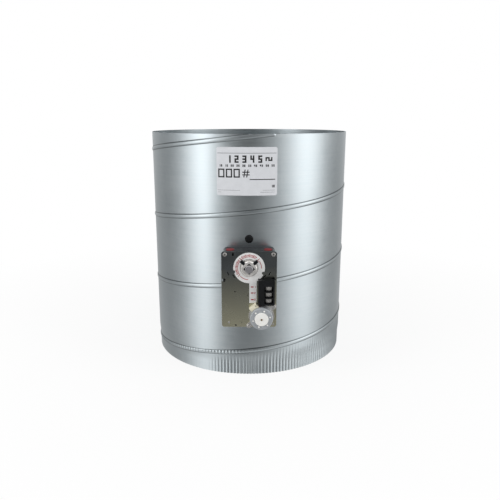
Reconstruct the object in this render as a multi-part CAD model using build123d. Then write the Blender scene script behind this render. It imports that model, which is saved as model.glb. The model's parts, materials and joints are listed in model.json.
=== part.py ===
from build123d import *

import os
from math import acos, atan2, cos, degrees, hypot, pi, radians, sin, sqrt, tan

# Motorized round damper: a length of spiral duct with a disc blade on a cross
# shaft, and a geared motor actuator on its front that turns the blade.
# The duct stands on its crimped end. Z is the air path, the actuator faces -Y,
# and the origin is on the duct's axis at its lower rim. Sizes are millimetres.
# At rest the blade is closed, square across the duct.

os.makedirs("parts", exist_ok=True)

# Duct: galvanised strip wound to a tube, with a lock seam and a crimped end
duct_bore = 355.6
duct_length = 406.4
duct_wall = 0.7
seam_pitch = 119.5
seam_width = 7.0
seam_height = 1.3
seam_flank = 0.8
seam_front_z = 44.1
crimp_length = 40.0
crimp_pitch = 5.9
crimp_depth = 2.0
crimp_slack = 0.3
crimp_top_step = 0.2

# Blade and its shaft
shaft_z = 200.4
shaft_dia = 12.7
shaft_front_reach = 44.5
shaft_rear_reach = 7.0
shaft_chamfer = 0.8
skin_thickness = 0.9
skin_rim_gap = 5.3
gasket_thickness = 3.0
gasket_rim_gap = 0.6
gasket_shaft_gap = 0.3
channel_gap = 0.05
rivet_count = 8
rivet_inset = 11.5
rivet_dia = 3.8
rivet_head_dia = 7.2
rivet_head_height = 1.1
blade_bolt_dia = 6.0
blade_bolt_spacing = 105.0
blade_bolt_head_dia = 13.0
blade_bolt_head_height = 2.6
bolt_crown = 0.7
blade_nut_flats = 10.0
blade_nut_height = 5.0
hole_slack = 0.1

# Shaft bushes, rear washer and retaining ring
bush_dia = 19.0
bush_flange_dia = 27.0
bush_running_gap = 0.05
bush_inner_gap = 0.3
rear_washer_dia = 20.0
rear_washer_thickness = 1.0
ring_thickness = 1.0
ring_outer_dia = 18.0
ring_groove_depth = 1.1
ring_mouth_angle = 80.0

# Actuator housing and front plate, as large as the gear train and the motor need
plate_above_shaft = 26.85
plate_below_motor = 18.95
plate_corner = 4.0
plate_thickness = 1.2
sector_side_gap = 1.3
housing_margin_x = 2.0
housing_margin_z = 1.5
housing_wall = 2.0
housing_corner = 5.5
housing_standoff = 2.5
housing_floor = 2.0
gearbox_depth = 27.8
saddle_gap = 0.3
seam_notch_gap = 0.6
eyelet_inset_x = 5.6
eyelet_inset_z = 4.9
eyelet_head_dia = 6.3
eyelet_shank_dia = 3.6
eyelet_bore_dia = 2.2
eyelet_head_height = 0.6
eyelet_grip = 5.0
post_dia = 7.4
low_rivet_inset_x = 11.4
low_rivet_inset_z = 8.0
corner_rivet_inset_z = 4.6
low_rivet_dia = 3.4
stud_dia = 4.0
stud_radius = 28.6
stud_angle = 40.0
low_stud_x = 22.0
low_stud_inset_z = 11.15
stud_boss_dia = 9.0
stud_nut_flats = 7.0
stud_nut_height = 3.2
stud_tail = 1.0
port_plug_dia = 13.5
port_plug_head = 1.2
port_plug_stem_dia = 7.6
port_plug_x = 30.5
port_plug_setback = 18.0

# Drive hub and its set screws
hub_dia = 25.0
hub_flange_dia = 28.4
hub_flange_thickness = 1.0
hub_flange_gap = 0.3
hub_front_reach = 7.5
hub_chamfer = 1.2
hub_square = 12.96
hub_journal_dia = 22.0
hub_rear_gap = 0.4
hub_plate_gap = 0.1
hex_flats = 21.0
set_screw_dia = 4.8
set_screw_reach = 18.4
set_screw_socket = 2.4
set_screw_socket_depth = 2.5
set_screw_angles = (45.0, 135.0)

# Gear train from the hub to the motor, on fixed arbors
pressure_angle = 20.0
heavy_module = 1.0
fine_module = 0.8
sector_teeth = 76
wheel_teeth = 48
pinion_teeth = 12
blade_travel = 90.0
sector_extra_teeth = 4
wheel_addendum = 0.7
wheel_dedendum = 1.25
pinion_addendum = 1.0
pinion_dedendum = 1.0
backlash = 0.12
sector_hub_dia = 34.0
sector_rim_depth = 5.0
sector_spoke_angle = 12.0
sector_width = 5.0
pinion_extra_width = 0.5
wheel_width = 4.0
layer_gap = 1.5
arbor_dia = 3.0
arbor_tip_dia = 2.0
arbor_running_gap = 0.05
arbor_boss_dia = 6.0
thrust_gap = 0.1
sector_arbor_angle = -100.0

# Motor on the front of the plate, placed from the shaft
motor_x = 19.8
motor_drop = 80.2
motor_flange_dia = 41.0
motor_flange_thickness = 1.0
motor_ear_radius = 26.0
motor_ear_angle = 39.0
motor_ear_dia = 8.4
motor_ear_rivet_dia = 3.0
motor_ear_rivet_head = 5.2
motor_ear_rivet_height = 0.9
motor_can_dia = 36.4
motor_can_depth = 14.6
motor_can_wall = 0.8
motor_can_edge = 0.9
motor_boss_dia = 10.0
motor_boss_length = 4.5
motor_boss_gap = 0.3
motor_cap_dia = 22.0
motor_cap_height = 2.5
motor_cap_edge = 0.6
motor_pin_dia = 3.0
motor_pin_height = 0.9
motor_stake_count = 6
motor_stake_dia = 2.8
motor_stake_radius = 13.7
motor_stake_angle = 12.6
motor_stake_height = 0.7
rotor_shaft_dia = 3.0
rotor_dia = 13.0
rotor_end_gap = 1.5
coil_inner_dia = 15.0
coil_outer_dia = 33.0
connector_length = 14.0
connector_width = 9.0
connector_depth = 9.0
connector_angle = 40.0
connector_x = -11.5
connector_z = 16.1
connector_hole_dia = 2.0
lead_dia = 1.4
lead_exit = 2.6
lead_run = 1.3
lead_depths = (4.5, 6.9)
lead_ends = (6.0, 3.9)

# Terminal block on the front of the plate, placed from its edge and from the motor
terminal_inset_x = 16.5
terminal_above_motor = 41.95
terminal_width = 26.0
terminal_height = 41.0
terminal_depth = 12.0
terminal_corner = 1.0
terminal_count = 3
terminal_pitch = 10.2
terminal_row_drop = 3.55
terminal_screw_x = 3.7
pocket_width = 14.0
pocket_height = 8.4
pocket_depth = 6.5
clamp_width = 9.0
clamp_height = 7.4
clamp_thickness = 0.8
terminal_head_dia = 6.4
terminal_head_height = 2.0
terminal_slot_width = 1.0
terminal_slot_depth = 0.9
terminal_shank_dia = 3.0
terminal_shank_length = 4.0

# Dial label, duct sticker and the plug in the duct wall
dial_dia = 50.0
dial_thickness = 0.15
dial_hole_gap = 0.4
dial_block_gap = 0.4
dial_tail_left = 0.3
dial_tail_right = 12.0
dial_tail_above_motor = 21.9
dial_notch_dia = 5.0
dial_notches = ((22.6, -8.6), (-24.3, -6.2))
sticker_left = -51.6
sticker_right = 44.7
sticker_top_gap = 19.9
sticker_height = 76.0
sticker_thickness = 0.25
sticker_glue = 0.05
plug_rise = 39.6
plug_dia = 13.6
plug_height = 2.6
plug_crown = 0.7
plug_stem_dia = 9.6
plug_barb_dia = 10.8
plug_barb_length = 2.2

# Holes of the front plate, as (x, height above the shaft, size)
plate_round_holes = (
    (-22.4, -39.3, 2.2),
    (-1.7, -45.0, 1.8),
)
# near its sides, as (side, inset from that side, height above the shaft, size)
plate_side_holes = (
    (-1, 3.7, -20.0, 5.8),
    (1, 4.7, -18.2, 5.8),
)
# near its lower edge, as (x, height above that edge, size)
plate_low_holes = (
    (-21.6, 2.95, 3.0),
    (-12.0, 7.95, 1.4),
)
# Slots of the front plate, as (x, height above the shaft, length, width, turn)
plate_slots = (
    (-25.4, 22.6, 6.0, 3.0, 90.0),
    (-33.3, -9.1, 6.0, 1.6, -65.0),
    (-24.4, -13.5, 6.0, 1.6, -51.0),
    (24.6, -13.7, 6.0, 1.6, 47.0),
    (32.6, -9.5, 6.0, 1.6, 63.0),
)

# Values that follow from the sizes above
bore_r = duct_bore / 2
skin_r = bore_r + duct_wall
shaft_r = shaft_dia / 2
floor_back_y = -(skin_r + housing_standoff)
floor_front_y = floor_back_y - housing_floor
plate_back_y = floor_front_y - gearbox_depth
plate_front_y = plate_back_y - plate_thickness
plate_top_z = shaft_z + plate_above_shaft
plate_low_z = shaft_z - motor_drop - plate_below_motor
plate_z = (plate_top_z + plate_low_z) / 2
plate_height = plate_top_z - plate_low_z
sector_tip_r = heavy_module * (sector_teeth / 2 + wheel_addendum)
plate_width = 2 * (sector_tip_r + sector_side_gap + housing_wall + housing_margin_x)
housing_width = plate_width - 2 * housing_margin_x
housing_height = plate_height - 2 * housing_margin_z
housing_top_z = plate_z + housing_height / 2
shaft_front_y = -(skin_r + shaft_front_reach)
shaft_rear_y = skin_r + shaft_rear_reach
bush_flange = housing_standoff - 0.2
hub_front_y = plate_front_y - hub_front_reach
hub_rear_y = -(skin_r + bush_flange + hub_rear_gap)
gasket_r = bore_r - gasket_rim_gap
blade_r = bore_r - skin_rim_gap
channel_r = shaft_r + channel_gap + skin_thickness
motor_axis = (motor_x, shaft_z - motor_drop)
terminal_centre = (plate_width / 2 - terminal_inset_x, motor_axis[1] + terminal_above_motor)
dial_tail_drop = motor_drop - dial_tail_above_motor


def facing(y):
    """Sketch plane at depth y, drawn as seen from the front: x right, z up."""
    return Plane(origin=(0, y, 0), x_dir=(1, 0, 0), z_dir=(0, -1, 0))


def raised(sketch, back_y, front_y):
    """Solid from a front-view sketch, between two depths."""
    return extrude(facing(back_y) * sketch, amount=back_y - front_y)


def disc(x, z, dia, back_y, front_y):
    return raised(Pos(x, z) * Circle(dia / 2), back_y, front_y)


def upright(x, y, dia, low_z, high_z):
    return Pos(x, y, low_z) * extrude(Circle(dia / 2), amount=high_z - low_z)


def hexagon(flats):
    return RegularPolygon(flats / 2, 6, major_radius=False)


def around(x, z, radius, angle):
    """Point at a radius and an angle in degrees about a centre, in the front view."""
    return (x + radius * cos(radians(angle)), z + radius * sin(radians(angle)))


def duct_cylinder(radius):
    return extrude(Circle(radius), amount=duct_length)


# Duct

def seam_band(width, height, low_z, high_z):
    """The lock seam's ridge as a helix round the duct, from below the skin outwards."""
    turn = 360 * (low_z - seam_front_z) / seam_pitch - 90
    path = Pos(0, 0, low_z) * Rot(0, 0, turn) * Helix(seam_pitch, high_z - low_z, skin_r)
    start = path @ 0
    outward = Vector(start.X, start.Y, 0).normalized()
    section_plane = Plane(origin=start, z_dir=path % 0, x_dir=outward)
    half = width / 2
    root = -duct_wall / 2
    outline = Polyline(
        (root, -half),
        (0, -half),
        (height, -half + seam_flank),
        (height, half - seam_flank),
        (0, half),
        (root, half),
        close=True,
    )
    return sweep(section_plane * make_face(outline), path=path, is_frenet=True)


def crimp_wire(crest_r, valley_r, z):
    """Closed zigzag round the duct, with crests and valleys in turn."""
    count = round(pi * duct_bore / crimp_pitch)
    points = []
    for i in range(count):
        crest = 2 * pi * i / count
        valley = crest + pi / count
        points.append((crest_r * cos(crest), crest_r * sin(crest), z))
        points.append((valley_r * cos(valley), valley_r * sin(valley), z))
    return Wire.make_polygon(points, close=True)


def crimped_sides(low_wire, top_wire):
    solid = Solid.make_loft([low_wire, top_wire], ruled=True)
    return [face for face in solid.faces() if face.bounding_box().size.Z > crimp_length / 2]


def duct_shell():
    """Tube with its seam and holes, sewn to a crimped end that fades into it."""
    length = duct_length - crimp_length
    tube = Pos(0, 0, crimp_length) * extrude(Circle(skin_r) - Circle(bore_r), length)
    overrun = seam_width * 3
    band = seam_band(seam_width, seam_height, crimp_length - overrun, duct_length + overrun)
    sleeve = Pos(0, 0, crimp_length) * extrude(Circle(skin_r + 2 * seam_height), length)
    tube = tube + (band & sleeve)
    tube = tube - disc(0, shaft_z, bush_dia + hole_slack, skin_r + 1, -skin_r - seam_height)
    plug_z = shaft_z + plug_rise
    tube = tube - disc(0, plug_z, plug_stem_dia + hole_slack, 0, -skin_r - seam_height)

    crest_r = bore_r - crimp_slack
    valley_r = crest_r - crimp_depth
    low_outer = crimp_wire(crest_r, valley_r, 0)
    low_inner = crimp_wire(crest_r - duct_wall, valley_r - duct_wall, 0)
    top_outer_r = skin_r - crimp_top_step
    top_inner_r = bore_r + crimp_top_step / 2
    top_outer = crimp_wire(top_outer_r, top_outer_r, crimp_length)
    top_inner = crimp_wire(top_inner_r, top_inner_r, crimp_length)
    sides = crimped_sides(low_outer, top_outer) + crimped_sides(low_inner, top_inner)

    end = tube.faces().sort_by(Axis.Z)[0]
    outer_ledge = Face(end.outer_wire(), [top_outer])
    inner_ledge = Face(top_inner, [end.inner_wires()[0]])
    rim = Face(low_outer, [low_inner])
    walls = [face for face in tube.faces() if not face.is_same(end)]
    return Solid(Shell(sides + [rim, outer_ledge, inner_ledge] + walls))


def hole_plug():
    """Domed plug pushed into the duct wall, held by a barb."""
    z = shaft_z + plug_rise
    dome = disc(0, z, plug_dia, -skin_r, -skin_r - plug_height)
    dome = chamfer(dome.edges().group_by(Axis.Y)[0], plug_height * plug_crown, plug_height)
    stem = disc(0, z, plug_stem_dia, -bore_r + plug_barb_length, -skin_r)
    barb = disc(0, z, plug_barb_dia, -bore_r + plug_barb_length, -bore_r + plug_barb_length - 1.0)
    return dome + stem + barb


def data_label():
    width = sticker_right - sticker_left
    middle_z = duct_length - sticker_top_gap - sticker_height / 2
    under_r = skin_r + sticker_glue
    sheet = duct_cylinder(under_r + sticker_thickness) - duct_cylinder(under_r)
    window = Pos((sticker_left + sticker_right) / 2, -skin_r, middle_z)
    return sheet & (window * Box(width, skin_r, sticker_height))


# Bushes and what holds the shaft at the rear

def shaft_bush(side):
    """Flanged bush in the duct wall; side is -1 at the front and 1 at the rear."""
    inner_y = bore_r - bush_inner_gap
    outer_y = skin_r + bush_flange
    sleeve = disc(0, shaft_z, bush_dia, outer_y, inner_y)
    flange = disc(0, shaft_z, bush_flange_dia, outer_y, skin_r - bush_flange)
    flange = flange - duct_cylinder(skin_r)
    bore = disc(0, shaft_z, shaft_dia + 2 * bush_running_gap, outer_y, inner_y - bush_flange)
    bush = sleeve + flange - bore
    if side < 0:
        bush = Rot(0, 0, 180) * bush
    return bush


def rear_washer():
    back_y = skin_r + bush_flange + thrust_gap + rear_washer_thickness
    outline = Circle(rear_washer_dia / 2) - Circle(shaft_r + hole_slack)
    return raised(Pos(0, shaft_z) * outline, back_y, back_y - rear_washer_thickness)


def ring_back_y():
    return skin_r + bush_flange + 2 * thrust_gap + rear_washer_thickness + ring_thickness


def retaining_ring():
    """Open ring that snaps into the shaft's groove."""
    outline = Circle(ring_outer_dia / 2) - Circle(shaft_r - ring_groove_depth)
    reach = ring_outer_dia
    left = around(0, 0, reach, 90 - ring_mouth_angle / 2)
    right = around(0, 0, reach, 90 + ring_mouth_angle / 2)
    mouth = make_face(Polyline((0, 0), left, right, close=True))
    ring = Pos(0, shaft_z) * (outline - mouth)
    return raised(ring, ring_back_y(), ring_back_y() - ring_thickness)


# Blade

def rivet_places():
    radius = blade_r - rivet_inset
    step = 360 / rivet_count
    return [around(0, 0, radius, step * (i + 0.5)) for i in range(rivet_count)]


def bolt_places():
    return [(0, blade_bolt_spacing * i) for i in (-1, 0, 1)]


def pierced(plate, places, dia):
    """Plate of the blade with upright holes at the given places."""
    reach = channel_r * 2
    for x, y in places:
        plate = plate - upright(x, y, dia + 2 * hole_slack, shaft_z - reach, shaft_z + reach)
    return plate


def blade_shaft():
    shaft = disc(0, shaft_z, shaft_dia, shaft_rear_y, shaft_front_y)
    shaft = chamfer(shaft.edges(), shaft_chamfer)
    ring_y = ring_back_y()
    groove = Circle(shaft_r + 1) - Circle(shaft_r - ring_groove_depth)
    shaft = shaft - raised(Pos(0, shaft_z) * groove, ring_y, ring_y - ring_thickness)
    return pierced(shaft, bolt_places(), blade_bolt_dia)


def upper_skin():
    """Disc with a half-round channel pressed over the shaft."""
    low_z = shaft_z + gasket_thickness / 2
    sheet = Pos(0, 0, low_z) * extrude(Circle(blade_r), amount=skin_thickness)
    inner_r = channel_r - skin_thickness
    length_y = sqrt(blade_r ** 2 - channel_r ** 2)
    channel = disc(0, shaft_z, 2 * channel_r, length_y, -length_y)
    above = Pos(0, 0, low_z) * Box(
        4 * channel_r, 3 * blade_r, 4 * channel_r, align=(Align.CENTER, Align.CENTER, Align.MIN)
    )
    sheet = sheet + (channel & above)
    sheet = sheet - disc(0, shaft_z, 2 * inner_r, bore_r, -bore_r)
    sheet = pierced(sheet, bolt_places(), blade_bolt_dia)
    return pierced(sheet, rivet_places(), rivet_dia)


def lower_skin():
    """The upper skin turned over about the shaft."""
    return Pos(0, 0, shaft_z) * Rot(0, 180, 0) * Pos(0, 0, -shaft_z) * upper_skin()


def blade_gasket():
    """Foam sheet between the skins, in two halves beside the shaft."""
    strip = Rectangle(shaft_dia + 2 * gasket_shaft_gap, 3 * gasket_r)
    sheet = extrude(Circle(gasket_r) - strip, amount=gasket_thickness)
    sheet = Pos(0, 0, shaft_z - gasket_thickness / 2) * sheet
    return pierced(sheet, rivet_places(), rivet_dia)


def blade_rivets():
    half = gasket_thickness / 2 + skin_thickness
    rivets = []
    for x, y in rivet_places():
        shank = upright(x, y, rivet_dia, shaft_z - half, shaft_z + half)
        top = upright(x, y, rivet_head_dia, shaft_z + half, shaft_z + half + rivet_head_height)
        foot = upright(x, y, rivet_head_dia, shaft_z - half - rivet_head_height, shaft_z - half)
        rivets.append(shank + top + foot)
    return Compound(children=rivets)


def blade_bolts():
    bolts = []
    for x, y in bolt_places():
        low_z = shaft_z - channel_r - blade_nut_height - 1.0
        head_z = shaft_z + channel_r
        shank = upright(x, y, blade_bolt_dia, low_z, head_z)
        head = upright(x, y, blade_bolt_head_dia, head_z, head_z + blade_bolt_head_height)
        rim = head.edges().group_by(Axis.Z)[-1]
        bolts.append(shank + chamfer(rim, blade_bolt_head_height * bolt_crown, blade_bolt_head_height))
    return Compound(children=bolts)


def blade_nuts():
    nuts = []
    for x, y in bolt_places():
        low_z = shaft_z - channel_r - blade_nut_height
        outline = hexagon(blade_nut_flats) - Circle(blade_bolt_dia / 2)
        nuts.append(Pos(x, y, low_z) * extrude(outline, amount=blade_nut_height))
    return Compound(children=nuts)


# Actuator housing and plate

def eyelet_places():
    x = plate_width / 2 - eyelet_inset_x
    z = plate_top_z - eyelet_inset_z
    return [(-x, z), (x, z)]


def low_rivet_places():
    left = (low_rivet_inset_x - plate_width / 2, plate_low_z + low_rivet_inset_z)
    right = (plate_width / 2 - eyelet_inset_x, plate_low_z + corner_rivet_inset_z)
    return [left, right]


def stud_places():
    upper = [around(0, shaft_z, stud_radius, angle) for angle in (stud_angle, 180 - stud_angle)]
    lower = [(side * low_stud_x, plate_low_z + low_stud_inset_z) for side in (-1, 1)]
    return upper + lower


def port_plug_y():
    return plate_front_y + port_plug_setback


def actuator_housing():
    """Moulded pan with a skirt cut to the duct, posts for the plate and bosses for arbors."""
    outer = Pos(0, plate_z) * RectangleRounded(housing_width, housing_height, housing_corner)
    inner_size = (housing_width - 2 * housing_wall, housing_height - 2 * housing_wall)
    inner = Pos(0, plate_z) * RectangleRounded(*inner_size, housing_corner - housing_wall)
    rear_y = -skin_r / 2
    pan = raised(outer, rear_y, plate_back_y)
    pan = pan - raised(inner, floor_front_y, plate_back_y)
    pan = pan - raised(inner, rear_y, floor_back_y)
    post = raised(outer, floor_front_y, plate_back_y)
    for x, z in eyelet_places() + low_rivet_places():
        pan = pan + (disc(x, z, post_dia, floor_front_y, plate_back_y) & post)
    for x, z in stud_places():
        pan = pan + disc(x, z, stud_boss_dia, rear_y, floor_back_y)
    pan = pan - duct_cylinder(skin_r + saddle_gap)
    for x, z in eyelet_places():
        pan = pan - disc(x, z, eyelet_shank_dia, plate_back_y + eyelet_grip, plate_back_y)
    for x, z in low_rivet_places():
        pan = pan - disc(x, z, low_rivet_dia / 2, plate_back_y + eyelet_grip, plate_back_y)
    for x, z in stud_places():
        pan = pan - disc(x, z, stud_dia + 2 * hole_slack, rear_y, floor_front_y)
    pan = pan - disc(0, shaft_z, hub_journal_dia + 2 * hub_plate_gap, floor_back_y, floor_front_y)
    for centre, back_y in ((second_axis, second_back_y), (first_axis, first_back_y)):
        boss = disc(*centre, arbor_boss_dia, floor_front_y, back_y + thrust_gap)
        pan = pan + boss - disc(*centre, arbor_dia, floor_back_y, back_y + thrust_gap)
    for side in (-1, 1):
        hole = upright(0, 0, port_plug_stem_dia + 2 * hole_slack, 0, 2 * housing_wall)
        pan = pan - Pos(side * port_plug_x, port_plug_y(), housing_top_z - 2 * housing_wall) * hole
    band_gap = seam_notch_gap
    band = seam_band(
        seam_width + 2 * band_gap,
        seam_height + band_gap,
        plate_z - seam_pitch / 4,
        plate_z + seam_pitch / 4,
    )
    return pan - band


def port_plugs():
    plugs = []
    for side in (-1, 1):
        x = side * port_plug_x
        y = port_plug_y()
        head = upright(x, y, port_plug_dia, housing_top_z, housing_top_z + port_plug_head)
        head = chamfer(head.edges().group_by(Axis.Z)[-1], port_plug_head / 2)
        stem = upright(x, y, port_plug_stem_dia, housing_top_z - housing_wall - 1.0, housing_top_z)
        plugs.append(head + stem)
    return Compound(children=plugs)


def mounting_studs():
    """Studs welded to the duct's skin, which the housing is put over."""
    studs = []
    front_y = floor_front_y - stud_nut_height - stud_tail
    for x, z in stud_places():
        stud = disc(x, z, stud_dia, -skin_r / 2, front_y)
        studs.append(stud - duct_cylinder(skin_r))
    return Compound(children=studs)


def mounting_nuts():
    nuts = []
    for x, z in stud_places():
        outline = hexagon(stud_nut_flats) - Circle(stud_dia / 2)
        nuts.append(raised(Pos(x, z) * outline, floor_front_y, floor_front_y - stud_nut_height))
    return Compound(children=nuts)


def hole_places():
    """Round holes of the plate, as (x, z, size)."""
    inner = [(x, shaft_z + rise, size) for x, rise, size in plate_round_holes]
    low = [(x, plate_low_z + rise, size) for x, rise, size in plate_low_holes]
    sides = []
    for side, inset, rise, size in plate_side_holes:
        sides.append((side * (plate_width / 2 - inset), shaft_z + rise, size))
    return inner + low + sides


def front_plate():
    outline = Pos(0, plate_z) * RectangleRounded(plate_width, plate_height, plate_corner)
    outline = outline - Pos(0, shaft_z) * Circle(hub_dia / 2 + hub_plate_gap)
    outline = outline - Pos(*motor_axis) * Circle(motor_boss_dia / 2 + motor_boss_gap)
    for x, z in eyelet_places():
        outline = outline - Pos(x, z) * Circle(eyelet_shank_dia / 2)
    for x, z in low_rivet_places():
        outline = outline - Pos(x, z) * Circle(low_rivet_dia / 4)
    for centre in (second_axis, first_axis):
        outline = outline - Pos(*centre) * Circle(arbor_tip_dia / 2)
    for x, z in ear_places():
        outline = outline - Pos(x, z) * Circle(motor_ear_rivet_dia / 2)
    for x, z, size in hole_places():
        outline = outline - Pos(x, z) * Circle(size / 2)
    for x, rise, length, width, turn in plate_slots:
        slot = Rot(0, 0, turn) * SlotOverall(length, width)
        outline = outline - Pos(x, shaft_z + rise) * slot
    return raised(outline, plate_back_y, plate_front_y)


def plate_eyelets():
    """Rolled eyelets that hold the plate's top corners to the posts."""
    eyelets = []
    head_y = plate_front_y - eyelet_head_height
    for x, z in eyelet_places():
        head = disc(x, z, eyelet_head_dia, plate_front_y, head_y)
        head = chamfer(head.edges().group_by(Axis.Y)[0], eyelet_head_height / 2)
        shank = disc(x, z, eyelet_shank_dia, plate_back_y + eyelet_grip, plate_front_y)
        bore = disc(x, z, eyelet_bore_dia, plate_back_y + eyelet_grip, head_y)
        eyelets.append(head + shank - bore)
    return Compound(children=eyelets)


def plate_rivets():
    rivets = []
    for x, z in low_rivet_places():
        head = disc(x, z, low_rivet_dia, plate_front_y, plate_front_y - eyelet_head_height)
        shank = disc(x, z, low_rivet_dia / 2, plate_back_y + eyelet_grip, plate_front_y)
        rivets.append(head + shank)
    return Compound(children=rivets)


def dial_label():
    """Keyhole-shaped sheet round the hub, with a tail beside the terminals."""
    tail_width = dial_tail_right - dial_tail_left
    tail_x = (dial_tail_left + dial_tail_right) / 2
    outline = Circle(dial_dia / 2) + Pos(tail_x, -dial_tail_drop / 2) * Rectangle(
        tail_width, dial_tail_drop
    )
    outline = outline - Circle(hub_flange_dia / 2 + dial_hole_gap)
    for x, rise in dial_notches:
        outline = outline - Pos(x, rise) * Circle(dial_notch_dia / 2)
    block_size = (terminal_width + 2 * dial_block_gap, terminal_height + 2 * dial_block_gap)
    outline = Pos(0, shaft_z) * outline - Pos(*terminal_centre) * Rectangle(*block_size)
    return raised(outline, plate_front_y, plate_front_y - dial_thickness)


# Drive hub

def drive_hub():
    """Hub with a square bore on its corner, a hexagon for the sector and a rear journal."""
    flange_y = plate_front_y - hub_flange_gap
    journal = disc(0, shaft_z, hub_journal_dia, hub_rear_y, sector_back_y)
    tail = raised(Pos(0, shaft_z) * hexagon(hex_flats), sector_back_y, sector_front_y)
    body = disc(0, shaft_z, hub_dia, sector_front_y, hub_front_y)
    body = chamfer(body.edges().group_by(Axis.Y)[0], hub_chamfer)
    flange = disc(0, shaft_z, hub_flange_dia, flange_y, flange_y - hub_flange_thickness)
    square = Pos(0, shaft_z) * Rot(0, 0, 45) * Rectangle(hub_square, hub_square)
    hub = journal + tail + body + flange - raised(square, hub_rear_y, hub_front_y)
    for angle in set_screw_angles:
        hub = hub - set_screw(angle, solid=True)
    return hub


def set_screw(angle, solid=False):
    """Set screw that points at the shaft, at an angle in the front view."""
    y = (plate_front_y - hub_flange_gap - hub_flange_thickness + hub_front_y) / 2
    length = set_screw_reach - shaft_r
    body = Pos(shaft_r, 0, 0) * Rot(0, 90, 0) * extrude(Circle(set_screw_dia / 2), amount=length)
    if not solid:
        socket = extrude(hexagon(set_screw_socket), amount=set_screw_socket_depth)
        start = set_screw_reach - set_screw_socket_depth
        body = body - Pos(start, 0, 0) * Rot(0, 90, 0) * socket
    return Pos(0, y, shaft_z) * Rot(0, -angle, 0) * body


def hub_set_screws():
    return Compound(children=[set_screw(angle) for angle in set_screw_angles])


# Gear train

def flank(teeth, module, addendum, dedendum):
    """One side of a tooth from root to tip, as (radius, half angle) pairs."""
    pitch_r = module * teeth / 2
    base_r = pitch_r * cos(radians(pressure_angle))
    half_pitch = (pi * module / 2 - backlash) / 2 / pitch_r
    root_r = pitch_r - dedendum * module
    tip_r = pitch_r + addendum * module

    def half_angle(radius):
        roll = acos(min(1, base_r / radius))
        start = radians(pressure_angle)
        return half_pitch + (tan(start) - start) - (tan(roll) - roll)

    radii = [root_r, pitch_r, tip_r]
    if base_r > root_r:
        radii.insert(1, base_r)
    return [(radius, half_angle(max(radius, base_r))) for radius in radii]


def tooth_points(teeth, module, first_angle, count, addendum, dedendum):
    side = flank(teeth, module, addendum, dedendum)
    points = []
    for i in range(count):
        middle = radians(first_angle + 360 * i / teeth)
        for radius, half in side:
            points.append((radius * cos(middle - half), radius * sin(middle - half)))
        for radius, half in reversed(side):
            points.append((radius * cos(middle + half), radius * sin(middle + half)))
    return points


def wheel_outline(module, first_angle):
    points = tooth_points(
        wheel_teeth, module, first_angle, wheel_teeth, wheel_addendum, wheel_dedendum
    )
    return make_face(Polyline(*points, close=True))


def pinion_outline(module, first_angle):
    points = tooth_points(
        pinion_teeth, module, first_angle, pinion_teeth, pinion_addendum, pinion_dedendum
    )
    return make_face(Polyline(*points, close=True))


def meeting_point(start, end, start_reach, end_reach):
    """Point at the given distances from two centres, right of the way from start to end."""
    span_x = end[0] - start[0]
    span_z = end[1] - start[1]
    span = hypot(span_x, span_z)
    along = (start_reach ** 2 - end_reach ** 2 + span ** 2) / (2 * span)
    aside = sqrt(start_reach ** 2 - along ** 2)
    unit_x = span_x / span
    unit_z = span_z / span
    return (
        start[0] + along * unit_x + aside * unit_z,
        start[1] + along * unit_z - aside * unit_x,
    )


def bearing_angle(start, end):
    return degrees(atan2(end[1] - start[1], end[0] - start[0]))


def sector_gear():
    """Toothed sector on the hub's hexagon, with a window that lightens it."""
    step = 360 / sector_teeth
    travel_teeth = round(blade_travel / step)
    count = travel_teeth + sector_extra_teeth + 1
    last_angle = sector_arbor_angle + sector_extra_teeth / 2 * step
    first_angle = last_angle - (count - 1) * step
    points = tooth_points(
        sector_teeth, heavy_module, first_angle, count, wheel_addendum, wheel_dedendum
    )
    outline = make_face(Polyline((0, 0), *points, close=True)) + Circle(sector_hub_dia / 2)
    rim_r = heavy_module * sector_teeth / 2 - sector_rim_depth
    ring = Circle(rim_r) - Circle(sector_hub_dia / 2 + sector_rim_depth / 2)
    low = first_angle + sector_spoke_angle
    high = last_angle - sector_spoke_angle
    middle = (low + high) / 2
    reach = 2 * rim_r
    corners = [around(0, 0, reach, angle) for angle in (low, middle, high)]
    wedge = make_face(Polyline((0, 0), *corners, close=True))
    outline = outline - (ring & wedge) - hexagon(hex_flats)
    return raised(Pos(0, shaft_z) * outline, sector_back_y, sector_front_y)


def compound_gear(centre, back_y, toward_wheel, toward_pinion, wheel_module):
    """Pinion at the back with its wheel in front, running on one arbor."""
    pinion_front_y = back_y - sector_width - 2 * pinion_extra_width
    wheel_back_y = pinion_front_y - layer_gap + pinion_extra_width
    wheel_front_y = wheel_back_y - wheel_width
    gap_turn = 180 / pinion_teeth
    pinion = pinion_outline(heavy_module, toward_wheel + gap_turn)
    wheel = wheel_outline(wheel_module, toward_pinion)
    collar_r = heavy_module * (pinion_teeth / 2 - pinion_dedendum) - backlash
    place = Pos(*centre)
    gear = raised(place * pinion, back_y, pinion_front_y)
    gear = gear + raised(place * Circle(collar_r), pinion_front_y, wheel_back_y)
    gear = gear + raised(place * wheel, wheel_back_y, wheel_front_y)
    return gear - disc(*centre, arbor_dia + 2 * arbor_running_gap, back_y, wheel_front_y)


def second_gear():
    """Turns the sector, driven by the first gear's pinion."""
    return compound_gear(
        second_axis,
        second_back_y,
        bearing_angle(second_axis, (0, shaft_z)),
        bearing_angle(second_axis, first_axis),
        heavy_module,
    )


def first_gear():
    """Driven by the motor's pinion."""
    return compound_gear(
        first_axis,
        first_back_y,
        bearing_angle(first_axis, second_axis),
        bearing_angle(first_axis, motor_axis),
        fine_module,
    )


def gear_arbors():
    arbors = []
    for centre in (second_axis, first_axis):
        body = disc(*centre, arbor_dia, floor_back_y, plate_back_y)
        arbors.append(body + disc(*centre, arbor_tip_dia, plate_back_y, plate_front_y))
    return Compound(children=arbors)


# Motor

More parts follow.
